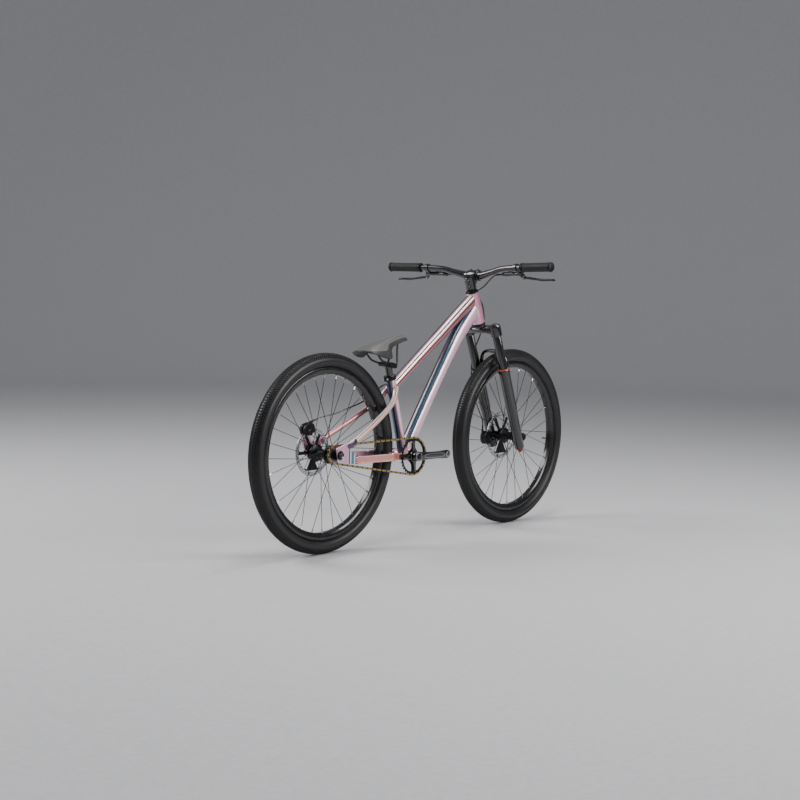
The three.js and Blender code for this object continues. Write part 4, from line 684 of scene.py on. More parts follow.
spot_on_chain, chain_length = chain_loop()
links = 2 * round(chain_length / chain_pitch / 2)
pins = [spot_on_chain(chain_length * (k + 0.5) / links) for k in range(links)]
outer_plates, inner_plates = Shape(), Shape()
for k in range(links):
    a, b = pins[k], pins[(k + 1) % links]
    along = (b - a).normalized()
    rise = Vector((0, 1, 0)).cross(along)
    half = (b - a).length / 2
    outline = []
    for x, z in (polar(1, turn) for turn in turns(20)):
        reach = 4.1 if abs(x) > 0.35 else 2.9
        outline.append((math.copysign(half, x) * (1 if abs(x) > 0.1 else 0) + 4.1 * x, reach * z))
    inner = k % 2
    for side in (-1, 1):
        near, far = (2.4, 3.3) if inner else (3.4, 4.3)
        flat = [(a + b) / 2 + along * x + rise * z for x, z in outline]
        rings = [[(p + Vector((0, side * y, 0))) * MM for p in flat] for y in (near, far)]
        (inner_plates if inner else outer_plates).join(rings_joined(rings))
    inner_plates.join(cross_rod((a.x, a.z), a.y - 2.3, a.y + 2.3, 3.9, 12))
    outer_plates.join(cross_rod((a.x, a.z), a.y - 4.9, a.y + 4.9, 1.8, 8))
piece("chain_outer_links", outer_plates, gold_steel, "frame", "chain_steel", ["chain"], bevel=0.2)
piece("chain_inner_links", inner_plates, dark_bronze, "frame", "chain_steel", bevel=0.2)
cog_holes = [circle(1.9, 8, *polar(21.5, turn)) for turn in turns(7)]
cog_shape = plate([toothed(cog_teeth), circle(17.6, 32)] + cog_holes, -48.1, -45.9, 0.25)
cog_shape = cog_shape.moved(wheel_spots["rear"])
piece("cog_plate", cog_shape, bare_steel, "cog", "bare_steel", ["rear_cog"])
print("links:", links, "pitch:", round(chain_length / links, 2), "mm")

# %% [markdown]
# The crank turns the chainring through four arms, which bright bolts hold. The arm itself is
# forged and gets smooth oval sections from its boss to the pedal eye. Its photo shows pale
# graphics, of which only a plain loop like a milled edge is kept, because the rest is lettering.

# %% Chainring and cranks
crank_length = 152.0
arms = 4
arm_turns = [turn + 0.1 for turn in turns(arms)]
ring_spot = placed(crank_middle)
window = [
    (54.5, -0.62), (56, -0.3), (56.2, 0.0), (56, 0.3), (54.5, 0.62), (44, 0.6), (30, 0.42),
    (26.5, 0.0), (30, -0.42), (44, -0.6),
]
windows = [[polar(r, middle + t) for r, t in window] for middle in turns(arms, 0.5)]
ring_plate = plate([toothed(ring_teeth), circle(12.6, 32)] + windows, -48.2, -45.8, 0.25)
ring_plate = ring_plate.moved(ring_spot)
piece("chainring_plate", ring_plate, satin_black, "crank", "satin_black", ["chainring"])
ring_bolts = Shape()
for turn in arm_turns:
    ring_bolts.join(cross_rod(polar(51, turn), -44.4, -49.8, 4.6), ring_spot)
    ring_bolts.join(cross_rod(polar(51, turn), -49.6, -50.4, 2.2, 6), ring_spot)
piece("chainring_bolts", ring_bolts, bright_alloy, "crank", "bare_steel", bevel=0.4)
ring_arms = Shape()
for turn in arm_turns:
    way = around_y(1, turn)
    base = crank_middle + Vector((0, -52.2, 0))
    widths = ((12, 11), (24, 8), (38, 6), (50, 5.4), (54.5, 4.2), (56.2, 2))
    stations = [(*(base + way * r), 1.9, w) for r, w in widths]
    ring_arms.join(swept(stations, 10, 12, 3.0, side=Vector((0, 1, 0)).cross(way)))
boss_profile = [(12.4, -56.8), (20, -56.8), (22, -54.5), (22, -50.6), (12.4, -50.6)]
ring_arms.join(turned(boss_profile, 32, closed=True), ring_spot)
piece("chainring_spider", ring_arms, gloss_black, "crank", "gloss_black")


def crank_arm(sign):
    """One arm on the right side, towards the front for sign 1, or away from it for -1."""
    stations = []
    for degrees in (84, 66, 48, 30, 14):
        c, s = polar(1, math.radians(degrees))
        stations.append((-17.5 * s, -65.5, 17.5 * c, 5.5 + 3.0 * c))
    for share, y, half_height, half_width in (
        (0.0, -65.5, 17.5, 8.5), (0.14, -67.5, 15.2, 8.2), (0.4, -71.5, 13.2, 7.0),
        (0.7, -74.6, 13.0, 6.4), (0.88, -75.8, 14.6, 6.6)
    ):
        stations.append((share * crank_length, y, half_height, half_width))
    for degrees in (0, 30, 50, 68, 84):
        c, s = polar(1, math.radians(degrees))
        stations.append((crank_length + 15.4 * s, -76.0, 15.4 * c, 4.4 + 2.5 * c))
    path = [(crank_middle.x + sign * x, y, crank_middle.z, h, w) for x, y, h, w in stations]
    return swept(path, 0, 28, 3.4)


arm_face = (0, 21.3, 60.8, 106.4, 133.8, 152), (74.0, 75.6, 78.4, 80.9, 82.3, 82.9)


def face_loop(middle, half_length, half_height):
    """A thin raised line that runs in a loop on the right arm's outer face."""
    stations = []
    for k in range(41):
        c, s = squared_off(TURN * k / 40, 0.6)
        x = middle + c * half_length
        face = float(np.interp(x, *arm_face))
        stations.append((crank_middle.x + x, -face, crank_middle.z + s * half_height, 0.45, 0.55))
    return swept(stations, 0, 8, caps=False)


axle_caps, eyes = Shape(), Shape()
cap = turned([(0, -75.0), (9, -75.0), (10.5, -74.2), (10.5, -70), (0, -70)], 28).moved(ring_spot)
eye = turned([(7.1, -83.0), (9.4, -83.0), (10.2, -82.6), (10.2, -80), (7.1, -80)], 28, closed=True)
eye.join(turned([(0, -81.0), (7.1, -81.0), (7.1, -79), (0, -79)], 28))
for name, sign in (("right", 1), ("left", -1)):
    flip = Shape.moved if name == "right" else mirrored
    arm = flip(crank_arm(sign))
    solid = "crank_arm_" + name
    piece(solid + "_forging", arm, gloss_black, "crank", "gloss_black", [solid])
    axle_caps.join(flip(cap))
    eyes.join(flip(eye.moved(placed(crank_middle + Vector((sign * crank_length, 0, 0))))))
piece("crank_axle_caps", axle_caps, satin_black, "crank", "satin_black", bevel=0.4)
piece("pedal_eyes", eyes, bright_alloy, "crank", "bare_steel", bevel=0.3)
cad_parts["crank_axle"].data.materials.clear()
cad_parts["crank_axle"].data.materials.append(bare_steel)
loops = Shape().join(face_loop(82, 52, 7.2)).join(face_loop(0.5, 13.5, 13.0))
piece("crank_face_lines", loops, white_mark, "crank", "bare_steel")
print("crank length:", crank_length, "mm")

# %% [markdown]
# The paint is the bike's showpiece: pale pink that shifts to plum, teal and copper. A colour ramp
# laid round each tube sets its bands where the tube's faces lie. The bands are partly the paint's
# own colours and partly painted light: near-white bands are painted highlights that stand for the
# reflections of the long studio lights, and dark bands are painted shade on the faces turned away
# from them. A slow noise lets the bands drift along the tube, and a clear coat on top gives the
# sharp highlights.

# %% Frame paint
pink, shell, rose, plum = "e2a9bd", "f6dbe4", "c77d98", "4a2740"
slate, teal, violet, copper, peach = "2b3246", "2f6a74", "3d2a55", "9a5238", "e8a794"


# A paint from colour bands laid round a tube, or along X between two places. The bands hold painted
# highlights and painted shade as well as the paint's own colours.
def paint(name, bands, drift=0.06, axis_coordinate=None):
    nodes = Nodes(name)
    if axis_coordinate is None:
        place = nodes.round_place()
    else:
        spot = nodes.add("ShaderNodeTexCoord").outputs["Object"]
        along = nodes.add("ShaderNodeSeparateXYZ", Vector=spot).outputs["X"]
        low, high = axis_coordinate
        share = nodes.add("ShaderNodeMapRange", i0=along, i1=low * MM, i2=high * MM)
        place = share.outputs["Result"]
    slow = noise(nodes, 7.0, 2.0)
    centred = nodes.add("ShaderNodeMath", {"operation": "SUBTRACT"}, i0=slow, i1=0.5).outputs[0]
    drifted = nodes.add(
        "ShaderNodeMath", {"operation": "MULTIPLY_ADD"}, i0=centred, i1=drift, i2=place
    )
    nodes.colours(drifted.outputs[0], bands)
    flakes = noise(nodes, 2600.0, 1.0)
    nodes.roughness(flakes, (0.2, 0.34))
    nodes.gloss(Metallic=0.35, Coat_Weight=1.0, Coat_Roughness=0.03)
    nodes.bump(flakes, 0.04, 0.0001)
    return nodes.material


# Top tube: the near-white bands near the top are painted highlights, the near-black line between
# them is a painted dark reflection, and the dark grey, brown and plum bands on the far upper edge,
# the side and underneath are painted shade.
top_paint_and_painted_light = paint("top_tube_paint_and_painted_light", [
    (0.0, pink), (0.1, rose), (0.16, plum), (0.215, "3b2a33"), (0.25, "8d6478"), (0.285, pink),
    (0.31, "fdf0f4"), (0.355, shell), (0.37, "1c1016"), (0.395, "1c1016"), (0.405, "fbeff3"),
    (0.445, shell), (0.465, copper), (0.5, "7a4636"), (0.525, rose), (0.58, plum), (0.68, "6a3850"),
    (0.85, rose), (1.0, pink),
])
# Down tube: the plum and near-black bands over the upper faces are painted shade, and the pale band
# on the right face is a painted highlight. Slate, teal and violet are the paint's own shift, laid
# as fixed bands.
down_paint_and_painted_light = paint("down_tube_paint_and_painted_light", [
    (0.0, pink), (0.06, shell), (0.09, plum), (0.14, "2a1626"), (0.235, "3a2036"), (0.255, slate),
    (0.3, "33465a"), (0.345, teal), (0.37, violet), (0.39, pink), (0.44, shell), (0.57, pink),
    (0.66, rose), (0.8, "6c3550"), (0.93, rose), (1.0, pink),
])
# Seat tube: the dark slate over the left and back faces is painted shade, and the pale band on the
# right face is a painted highlight.
seat_paint_and_painted_light = paint("seat_tube_paint_and_painted_light", [
    (0.0, slate), (0.14, slate), (0.24, "23364e"), (0.33, "2c3a58"), (0.375, violet), (0.41, rose),
    (0.46, shell), (0.6, peach), (0.8, rose), (1.0, slate),
])
# Seat stays: the near-white line on top is a painted highlight, the near-black line beside it is a
# painted dark reflection, and the plum underneath is painted shade.
seatstay_paint = paint("seatstay_paint", [
    (0.0, peach), (0.1, rose), (0.2, pink), (0.28, "f7e9ee"), (0.315, shell), (0.33, "23141a"),
    (0.37, "23141a"), (0.385, "f7d8cc"), (0.5, "f0bba8"), (0.6, peach), (0.7, rose), (0.85, plum),
    (1.0, peach),
])
# Chain stays: the near-white lines along the edges of the outer face are painted highlights, and
# the plum towards the top and bottom faces is painted shade.
chainstay_paint = paint("chainstay_paint", [
    (0.0, pink), (0.16, rose), (0.3, plum), (0.345, "5a3348"), (0.365, "fff2f4"), (0.395, "ffe3df"),
    (0.41, peach), (0.5, "d08673"), (0.59, peach), (0.62, "ffe3df"), (0.645, rose), (0.8, plum),
    (0.92, rose), (1.0, pink),
])
# Head tube and bracket shell: the pale band is a painted highlight.
head_paint_and_painted_light = paint(
    "head_tube_paint_and_painted_light",
    [(0.0, pink), (0.2, rose), (0.42, shell), (0.6, pink), (0.8, rose), (1.0, pink)]
)
# Stay lugs: the near-white top is a painted highlight, the near-black line below it is a painted
# dark reflection, and the dark plum on the side is painted shade.
lug_paint_and_painted_light = paint("lug_paint_and_painted_light", [
    (0.0, rose), (0.2, pink), (0.3, "f7e9ee"), (0.33, shell), (0.345, "2a1626"), (0.5, "3d2440"),
    (0.62, "5b3a66"), (0.8, rose), (1.0, rose),
])
# Dropouts and brake tab: the bands run along X, and the near-white stripes across the plate are
# painted reflections of the strip lights.
dropout_paint = paint("dropout_paint", [
    (0.0, "b98aa8"), (0.3, "d7a3bd"), (0.5, "c58db0"), (0.535, shell), (0.555, "4d5b7d"),
    (0.625, "31506e"), (0.64, "f4f4f8"), (0.665, "f4f4f8"), (0.68, teal), (0.8, "2f7f88"),
    (0.815, "f4f4f8"), (0.84, "b7a3cf"), (0.9, "9a78ad"), (1.0, pink),
], 0.0, (-540.0, -430.0))
weld_paint = paint("weld_paint", [(0.0, pink), (0.3, shell), (0.6, rose), (1.0, pink)], 0.3)
print("paints made for the frame")

# %% [markdown]
# The main tubes are drawn with the helper for swept ovals, on the centre lines of the solids. The
# down tube bows a little, and all of them are fat alloy tubes whose walls stay hidden, so only
# the outer skin is drawn. The head tube and the bracket shell are turned, with flared ends.

# %% Steering and seat frames, main tubes
steer_foot, steer_tilt = Vector((479.29, 0.0, 318.95)), math.radians(-21.0)
steer = placed(steer_foot) @ Matrix.Rotation(steer_tilt, 4, "Y")
upright = Matrix.Rotation(math.pi / 2, 4, "X")
seat_tilt = math.radians(74.1 - 90)
seat_frame = placed(crank_middle) @ Matrix.Rotation(seat_tilt, 4, "Y")


def up_axis(matrix, height):
    """A place in millimetres, at a height on a frame's own Z axis."""
    return (matrix @ (Vector((0, 0, height)) * MM)) / MM


def painted(name, shape, finish, *stands_for):
    piece(name, shape, finish, "frame", "frame_paint", stands_for)


top_head, top_seat = up_axis(steer, 579.6), up_axis(seat_frame, 250.6)
top_stations = []
for share, height, width in (
    (0.0, 17.5, 16.5), (0.12, 17.8, 16.6), (0.5, 20.0, 17.6), (0.9, 23.0, 18.8), (1.0, 23.5, 19.0)
):
    top_stations.append((*top_seat.lerp(top_head, share), height, width))
top_tube = swept(top_stations, 40, 48, 2.3)
painted("top_tube_skin", top_tube, top_paint_and_painted_light, "top_tube")

down_head = up_axis(steer, 540.2)
bow_up = (down_head - crank_middle).cross(Vector((0, 1, 0))).normalized()
down_stations = []
down_bow, down_half_height, down_half_width = 21, 30.5, 22.5
for share, bow, height, width in (
    (0, 0, 0.79, 0.98), (0.12, 0.38, 0.79, 0.98), (0.48, 0.96, 0.76, 1), (0.775, 1, 0.9, 0.98),
    (0.95, 0.25, 1, 0.93), (1, 0, 1, 0.89)
):
    spot = crank_middle.lerp(down_head, share) + bow_up * bow * down_bow
    down_stations.append((*spot, height * down_half_height, width * down_half_width))
down_tube = swept(down_stations, 60, 48, 2.35)
painted("down_tube_skin", down_tube, down_paint_and_painted_light, "down_tube")
seat_radius = 17
seat_heights = (12, 120, 270, 286, 292.4)
seat_tube = swept(
    [(*up_axis(seat_frame, s), seat_radius, seat_radius) for s in seat_heights], 0, 40
)
painted("seat_tube_skin", seat_tube, seat_paint_and_painted_light, "seat_tube")
head_profile = [
    (19.6, 481), (23.6, 481), (24.0, 484), (23.8, 489), (23.4, 495), (23.4, 586), (23.8, 592),
    (24.0, 597), (23.6, 600), (19.6, 600)
]
head_tube = turned(head_profile, 48, closed=True).moved(steer @ upright)
painted("head_tube_skin", head_tube, head_paint_and_painted_light, "head_tube")
shell_profile = [(18.6, -36.5), (21.4, -36.5), (22, -35.8), (22, 35.8), (21.4, 36.5), (18.6, 36.5)]
bracket_shell = turned(shell_profile, 48, closed=True).moved(ring_spot)
painted("bracket_shell_skin", bracket_shell, head_paint_and_painted_light, "bb_shell")
cup_profile = [(12.6, 36.8), (21.6, 36.8), (22.0, 37.4), (22.0, 42.2), (19.5, 44.3), (12.6, 44.5)]
cup = turned(cup_profile, 48, closed=True)
for turn in turns(16):
    cup.join(cross_rod(polar(21.4, turn), 37.0, 42.0, 0.9, 6))
cup = cup.moved(ring_spot)
both_sides("left", "bracket_cup_*", cup, satin_black, "frame", "satin_black", "bb_cup_*")
print("top tube:", round((top_head - top_seat).length), "mm")

# %% [markdown]
# The stays reach back from the seat tube and the bracket to the dropouts. The seat stays are
# round and sag in a soft curve, the chain stays are nearly square and end in a stiff yoke behind
# the bracket. Each pair is drawn once and mirrored.

# %% Stays and dropouts
stay_foot, stay_head = Vector((-460.5, 0, 368.0)), top_seat + Vector((4.9, 0, 0))
stay_up = (stay_head - stay_foot).cross(Vector((0, 1, 0))).normalized()
stay_stations = []
dropout_side, stay_head_side, stay_sag, stay_radius = 71.5, 17, 21, 9.8
for share, sag, spread, thick in (
    (0, 0, 1, 0.9), (0.04, -0.07, 0.99, 1), (0.5, -0.83, 0.69, 1), (0.83, -1, 0.33, 0.97),
    (1, 0, 0, 0.92)
):
    spot = stay_foot.lerp(stay_head, share) + stay_up * sag * stay_sag
    y, radius = stay_head_side + (dropout_side - stay_head_side) * spread, stay_radius * thick
    stay_stations.append((spot.x, -y, spot.z, radius, radius))
seatstay = swept(stay_stations, 48, 32, 2.2)
chain_foot, yoke_side = Vector((-442.5, 0, 314.0)), 28
chain_stations = []
for share, spread, height, width in (
    (0, 1, 10, 7), (0.05, 0.98, 12, 8), (0.35, 0.76, 13.5, 8), (0.64, 0.5, 13.5, 8),
    (0.72, 0.32, 13.5, 5.5), (0.78, 0.16, 13.5, 5.5), (0.886, 0, 13.5, 5.5), (0.97, 0, 13.5, 5.5)
):
    spot = chain_foot.lerp(crank_middle, share)
    y = yoke_side + (dropout_side - yoke_side) * spread
    chain_stations.append((spot.x, -y, spot.z, height, width))
chainstay = swept(chain_stations, 56, 32, 4.5)
yoke_stations = [
    (-240, -51, 307, 14, 8.6), (-236, -50.4, 306.9, 16.6, 9.8), (-214, -43.6, 306.2, 16.6, 9.2),
    (-210, -42, 306, 14, 7)
]
yoke = swept(yoke_stations, 8, 28, 6)
collar_stations = [
    (x, -71.3 + (x + 440) * 0.09, z, 14.6, 9.2)
    for x, z in ((-437, 313.8), (-426, 313.4), (-418, 313.1))
]
stay_collar = swept(collar_stations, 6, 28, 6)
dropout_edge = [
    (-16.8, 23), (-5, -18.4), (27.7, -29.4), (83.2, -35), (79.8, -1.8), (46, 13), (43.7, 15.6),
    (57, 21), (70.6, 27.6), (57.1, 46), (22.7, 35.9)
]


def softened(outline, share=0.22, steps=4):
    """The same outline with rounded corners."""
    found = []
    for k, corner in enumerate(outline):
        corner = Vector(corner)
        before, after = Vector(outline[k - 1]), Vector(outline[(k + 1) % len(outline)])
        start, end = corner.lerp(before, share), corner.lerp(after, share)
        for j in range(steps + 1):
            t = j / steps
            found.append(tuple(start * (1 - t) ** 2 + corner * 2 * t * (1 - t) + end * t * t))
    return found


dropout_plate = plate([softened(dropout_edge)], -75.5, -67.5, 0.9)
rear_spot = wheel_spots["rear"]
recess_profile = [(8, -75.3), (14.6, -75.3), (15.4, -76.0), (14.6, -76.9), (8, -76.9)]
recess = turned(recess_profile, 36, closed=True)
lug_stations = [
    (-484, -71.5, 360.5, 8, 5), (-470, -71.5, 364.5, 12, 9.4), (-458, -71.3, 370, 12.6, 11.2),
    (-444, -69.8, 376.9, 11.2, 10.8)
]
lug = swept(lug_stations, 10, 28, 3)
chainstay.join(yoke).join(stay_collar)
for name, shape, finish_used, slot, *solids in (
    ("seatstay_skin_*", seatstay, seatstay_paint, "frame_paint", "seatstay_*"),
    ("chainstay_skin_*", chainstay, chainstay_paint, "frame_paint", "chainstay_*"),
    ("axle_washer_*", recess.moved(rear_spot), satin_black, "satin_black"),
    ("dropout_skin_*", dropout_plate.moved(rear_spot), dropout_paint, "frame_paint", "dropout_*"),
    ("stay_lug_*", lug, lug_paint_and_painted_light, "frame_paint"),
):
    both_sides("right", name, shape, finish_used, "frame", slot, *solids)
tab_edge = [
    (9.2, 15.5), (60, 18.5), (90.2, 17.5), (90.2, 8), (66, 7), (66, -7), (90.2, -8), (90.2, -17.5),
    (60, -18.5), (9.2, -18)
]
rear_brake_frame = rear_spot @ Matrix.Rotation(math.radians(-107), 4, "Y")
tab = plate([softened(tab_edge)], 67.5, 75.5, 0.9)
painted("brake_tab_skin", tab.moved(rear_brake_frame), dropout_paint)
print("stays:", [round(s[1]) for s in stay_stations])

# %% [markdown]
# Alloy frames are welded with a fat rippled bead round each joint. A bead is found by casting
# rays from the ring of one tube along its axis until they meet the other tube. A thin tube with a
# ripple in its radius then follows the places that were hit.

# %% Weld beads
from mathutils.bvhtree import BVHTree


bead_step, bead_gap, ring_gap = 0.0009, 0.02, 0.004


def weld(tube, row, sides, direction, target, radius=2.3):
    """A rippled bead where one ring of a tube, moved along a direction, meets a target shape."""
    tree = BVHTree.FromPolygons([tuple(p) for p in target.points], target.faces)
    hits = []
    for start in tube.points[row * sides:(row + 1) * sides]:
        spot = tree.ray_cast(start - direction * 0.12, direction, 0.4)[0]
        if spot is not None:
            hits.append(spot)
    path = []
    for k, spot in enumerate(hits):
        following = hits[(k + 1) % len(hits)]
        steps = max(1, int((following - spot).length / bead_step))
        if (following - spot).length < bead_gap:
            path += [spot.lerp(following, j / steps) for j in range(steps)]
    rings = []
    for k, spot in enumerate(path):
        along = (path[(k + 1) % len(path)] - path[k - 1]).normalized()
        across = along.orthogonal().normalized()
        rise = along.cross(across)
        r = radius * MM * (1 + 0.16 * math.sin(TURN * k / 3.2))
        rings.append([spot + (across * math.cos(t) + rise * math.sin(t)) * r for t in turns(8)])
    bead = Shape()
    for k, ring in enumerate(rings):
        bead.points += ring
        if (path[(k + 1) % len(path)] - path[k]).length < ring_gap:
            here, there = k * 8, (k + 1) % len(rings) * 8
            for j in range(8):
                following = (j + 1) % 8
                bead.faces.append([here + j, here + following, there + following, there + j])
                bead.around.append([(j / 8, 0), ((j + 1) / 8, 0), ((j + 1) / 8, 1), (j / 8, 1)])
    return bead


head_solid = turned([(0.01, 470), (23.6, 470), (23.6, 611), (0.01, 611)], 64).moved(steer @ upright)
seat_solid = swept([(*up_axis(seat_frame, s), seat_radius, seat_radius) for s in (-10, 300)], 0, 48)
bracket_solid = turned([(0.01, -36.5), (22, -36.5), (22, 36.5), (0.01, 36.5)], 64).moved(ring_spot)
top_way = (top_head - top_seat).normalized()
down_way = (down_head - Vector(down_stations[4][:3])).normalized()
down_foot_way = (crank_middle - Vector(down_stations[1][:3])).normalized()
seat_way = (seat_frame.to_3x3() @ Vector((0, 0, -1))).normalized()
beads = Shape()
for tube, row, sides, way, solid in (
    (top_tube, 38, 48, top_way, head_solid),
    (top_tube, 3, 48, -top_way, seat_solid),
    (down_tube, 57, 48, down_way, head_solid),
    (down_tube, 5, 48, down_foot_way, bracket_solid),
    (seat_tube, 1, 40, seat_way, bracket_solid),
):
    beads.join(weld(tube, row, sides, way, solid))
painted("weld_beads", beads, weld_paint)
print("bead points:", len(beads.points))

# %% [markdown]
# The rear axle is clamped in the dropouts by two round bolts with a hexagon socket, and collars
# space the hub from the plates. The disc caliper is a black forging that straddles the rotor: two
# halves, a bridge beyond the rotor's edge, a round cover over each piston and a union for the hose.

# %% Bolt, caliper and hose makers
def socket_bolt(radius, low, high, key=4.0):
    """A round bolt head along Y with a hexagon socket in its outer face."""
    way = 1 if high > low else -1
    inside, rim = high - way * 3, high - way * 1.4
    head = turned(
        [(key, inside), (radius - 1.4, high), (radius, rim), (radius, low), (key, low)], 40
    )
    return head.join(cross_rod((0, 0), inside, high - way * 3.4, key * 1.1, 6))


def caliper(end, carrier, matrix, inner, inside, outside, rotor_at, rotor_radius):
    """The black body and the bolts of a caliper that reaches out from the axle."""
    far = inner + 38
    low_edge = [(inner + 1, -17), (inner + 12, -24.5), (inner + 27, -24.5), (far - 1, -13)]
    half_edge = low_edge + [(far, 0)] + [(x, -z) for x, z in reversed(low_edge)]
    body = plate([softened(half_edge)], inside, rotor_at - 2.3, 1.4)
    body.join(plate([softened(half_edge)], rotor_at + 2.3, outside, 1.4))
    bridge_edge = [
        (rotor_radius + 1.5, -15), (far - 2, -11), (far - 0.3, 0), (far - 2, 11),
        (rotor_radius + 1.5, 15)
    ]
    body.join(plate([softened(bridge_edge)], rotor_at - 4, rotor_at + 4, 0.4))
    for side in (-9, -4.5, 0, 4.5, 9):
        body.join(block((far - 4, inside + 2, side - 0.9), (far - 0.1, outside - 2, side + 0.9)))
    union_at = (rotor_at + outside) / 2
    body.join(rod((inner + 33, union_at, 0), (inner + 33, union_at, -32.5), 4.0, 20))
    body.join(rod((inner + 33, union_at, -24.6), (inner + 33, union_at, -29), 5.0, 6))
    piston_at = rotor_radius - 8.5
    cover = [
        (0.01, inside - 1.6), (8.2, inside - 1.6), (10.4, inside - 0.6), (10.4, inside + 1),
        (0.01, inside + 1)
    ]
    bright = turned(cover, 40).moved(placed((piston_at, 0, 0)))
    for side in (-18.5, 18.5):
        bright.join(rod((far - 8.5, union_at, side), (far - 4.5, union_at, side), 4.6, 20))
        bright.join(rod((far - 4.4, union_at, side), (far - 4.0, union_at, side), 2.4, 6))
        bright.join(cross_rod((piston_at + 13, side * 0.72), inside - 1.4, inside + 1, 3.2))
    body, bright = body.moved(matrix), bright.moved(matrix)
    name = end + "_caliper"
    piece(name + "_body", body, satin_black, carrier, "satin_black", [name])
    piece(name + "_bolts", bright, dark_alloy, carrier, "satin_black")


hose_radius = 2.5


def hose_between(name, places, first, last, bend, stands_for):
    """A brake hose along the places, left fixed where it is drawn, and a ferrule on each end that
    rides on the body there. The bend names two numbered places, but nothing bends the hose."""
    stations = [(*place, hose_radius, hose_radius) for place in places]
    cord = swept(stations, len(places) * 12, 12, side=Vector((0.3, 0.3, 0.9)))
    bends_to = (last, places[bend[0]], places[bend[1]])
    piece(name, cord, hose_black, first, "hose_black", [stands_for], bends_to=bends_to)
    for end, beside, radius, body in ((0, 1, 3.4, first), (-1, -2, 3.3, last)):
        ferrule = rod(places[end], places[beside], radius)
        piece(f"{name}_ferrule_{body}", ferrule, dark_alloy, body, "hose_black")


rear_hose = [
    (279.1, -119.3, 946), (280.9, -96, 944.5), (294, -62, 930), (309, -22, 904), (308, 14, 883),
    (293, 36, 862), (262, 36, 838), (226, 29, 813.5), (155.6, 24, 764.2), (32.3, 21.5, 679),
    (-91, 20, 593.5), (-150, 21.5, 556), (-185, 28.5, 551), (-222, 35, 531), (-281, 40, 496),
    (-354, 48, 473), (-415, 52, 457), (-468, 58, 450), (-498, 59.6, 441.7), (-515.5, 59.6, 436.35),
]
axle_parts = cross_rod((0, 0), -67.2, 67.2, 7.2, 24).moved(rear_spot)
axle_collar = ((7.2, 56.6), (8.2, 56.6), (9, 57.6), (9, 66.4), (8.4, 67.1), (7.2, 67.1))
for side in (-1, 1):
    axle_parts.join(socket_bolt(11, side * 75.8, side * 83.4), rear_spot)
    collar = [(r, side * y) for r, y in axle_collar]
    axle_parts.join(turned(collar, 36, closed=True), rear_spot)
piece("rear_axle_bolts", axle_parts, gloss_black, "frame", "satin_black", ["rear_axle"])
caliper("rear", "frame", rear_brake_frame, 64, 41, 67.2, *rotor_places["rear"])
hose_between("rear_hose", rear_hose, "steering", "frame", (1, 7), "rear_brake_hose")
clips = Shape()
for k, share in ((8, 0.15), (8, 0.85), (9, 0.5), (10, 0.3)):
    a, b = Vector(rear_hose[k]), Vector(rear_hose[k + 1])
    hose_spot, along = a.lerp(b, share), (b - a).normalized()
    clips.join(rod((hose_spot.x, 14, hose_spot.z), hose_spot, 2.8, 16))
    clips.join(rod(hose_spot - along * 3.5, hose_spot + along * 3.5, 3.5, 20))
piece("hose_clips", clips, bright_alloy, "frame", "bright_alloy")
print("rear hose points:", len(rear_hose))

# %% [markdown]
# The seatpost is a plain black tube held by a split ring. On it sits a clamp of two grooved cradles
# that grip the saddle's steel rails. The saddle is a moulded shell with a thin foam under a grained
# cover, so it is one firm padded shape, lofted through its sections from tail to nose.

# %% Seatpost, clamps, rails and saddle
seat_upright = seat_frame @ upright
ring_edge = arc(21.3, -162, 162, 36) + [(-25.2, 6), (-25.2, 1), (-17.3, 1)]
ring_edge += arc(17.35, 176, -176, 44) + [(-17.3, -1), (-25.2, -1), (-25.2, -6)]
clamp_ring = plate([ring_edge], 278.2, 292.9, 0.7).moved(seat_upright)
piece("seat_clamp_ring", clamp_ring, satin_black, "frame", "satin_black", ["seat_clamp"])
bolt_spot = (-21.8, 285.5)
clamp_bolt = cross_rod(bolt_spot, -9.6, -6, 3.6, 20).join(cross_rod(bolt_spot, -6, 8.4, 2.3))
piece("seat_clamp_bolt", clamp_bolt.moved(seat_frame), bright_alloy, "frame", "bright_alloy")
post_profile = [
    (0.01, 196), (12.6, 196), (13.6, 197), (13.6, 318), (14.2, 324), (14.2, 330), (12, 335.6),
    (0.01, 335.8)
]
post = turned(post_profile, 40).moved(seat_upright)
piece("seatpost_tube", post, gloss_black, "seat", "gloss_black", ["seatpost"])

saddle_length, saddle_half_width, saddle_depth = 224, 68, 54
rail_frame = placed((-203.59, 0, 621.78)) @ Matrix.Rotation(math.radians(14), 4, "Y")
cradles = Shape()
for edge in (
    [(-21, -2), (-15, -9.6), (15, -9.6), (21, -2), (20, 0), (-20, 0)],
    [(-20, 0.4), (-15, 6.4), (-5, 7.6), (5, 7.6), (15, 6.4), (20, 0.4)],
):
    cradles.join(plate([softened(edge)], -27.5, 27.5, 0.8), rail_frame)
piece("saddle_cradles", cradles, satin_black, "seat", "satin_black", ["saddle_clamp"])
cradle_bolts = Shape()
for x in (-13, 13):
    cradle_bolts.join(rod((x, 0, 6), (x, 0, 9.9), 4.2, 6))
    cradle_bolts.join(rod((x, 0, -12.5), (x, 0, -9), 4.4, 20))
piece("saddle_cradle_bolts", cradle_bolts.moved(rail_frame), bright_alloy, "seat", "bright_alloy")

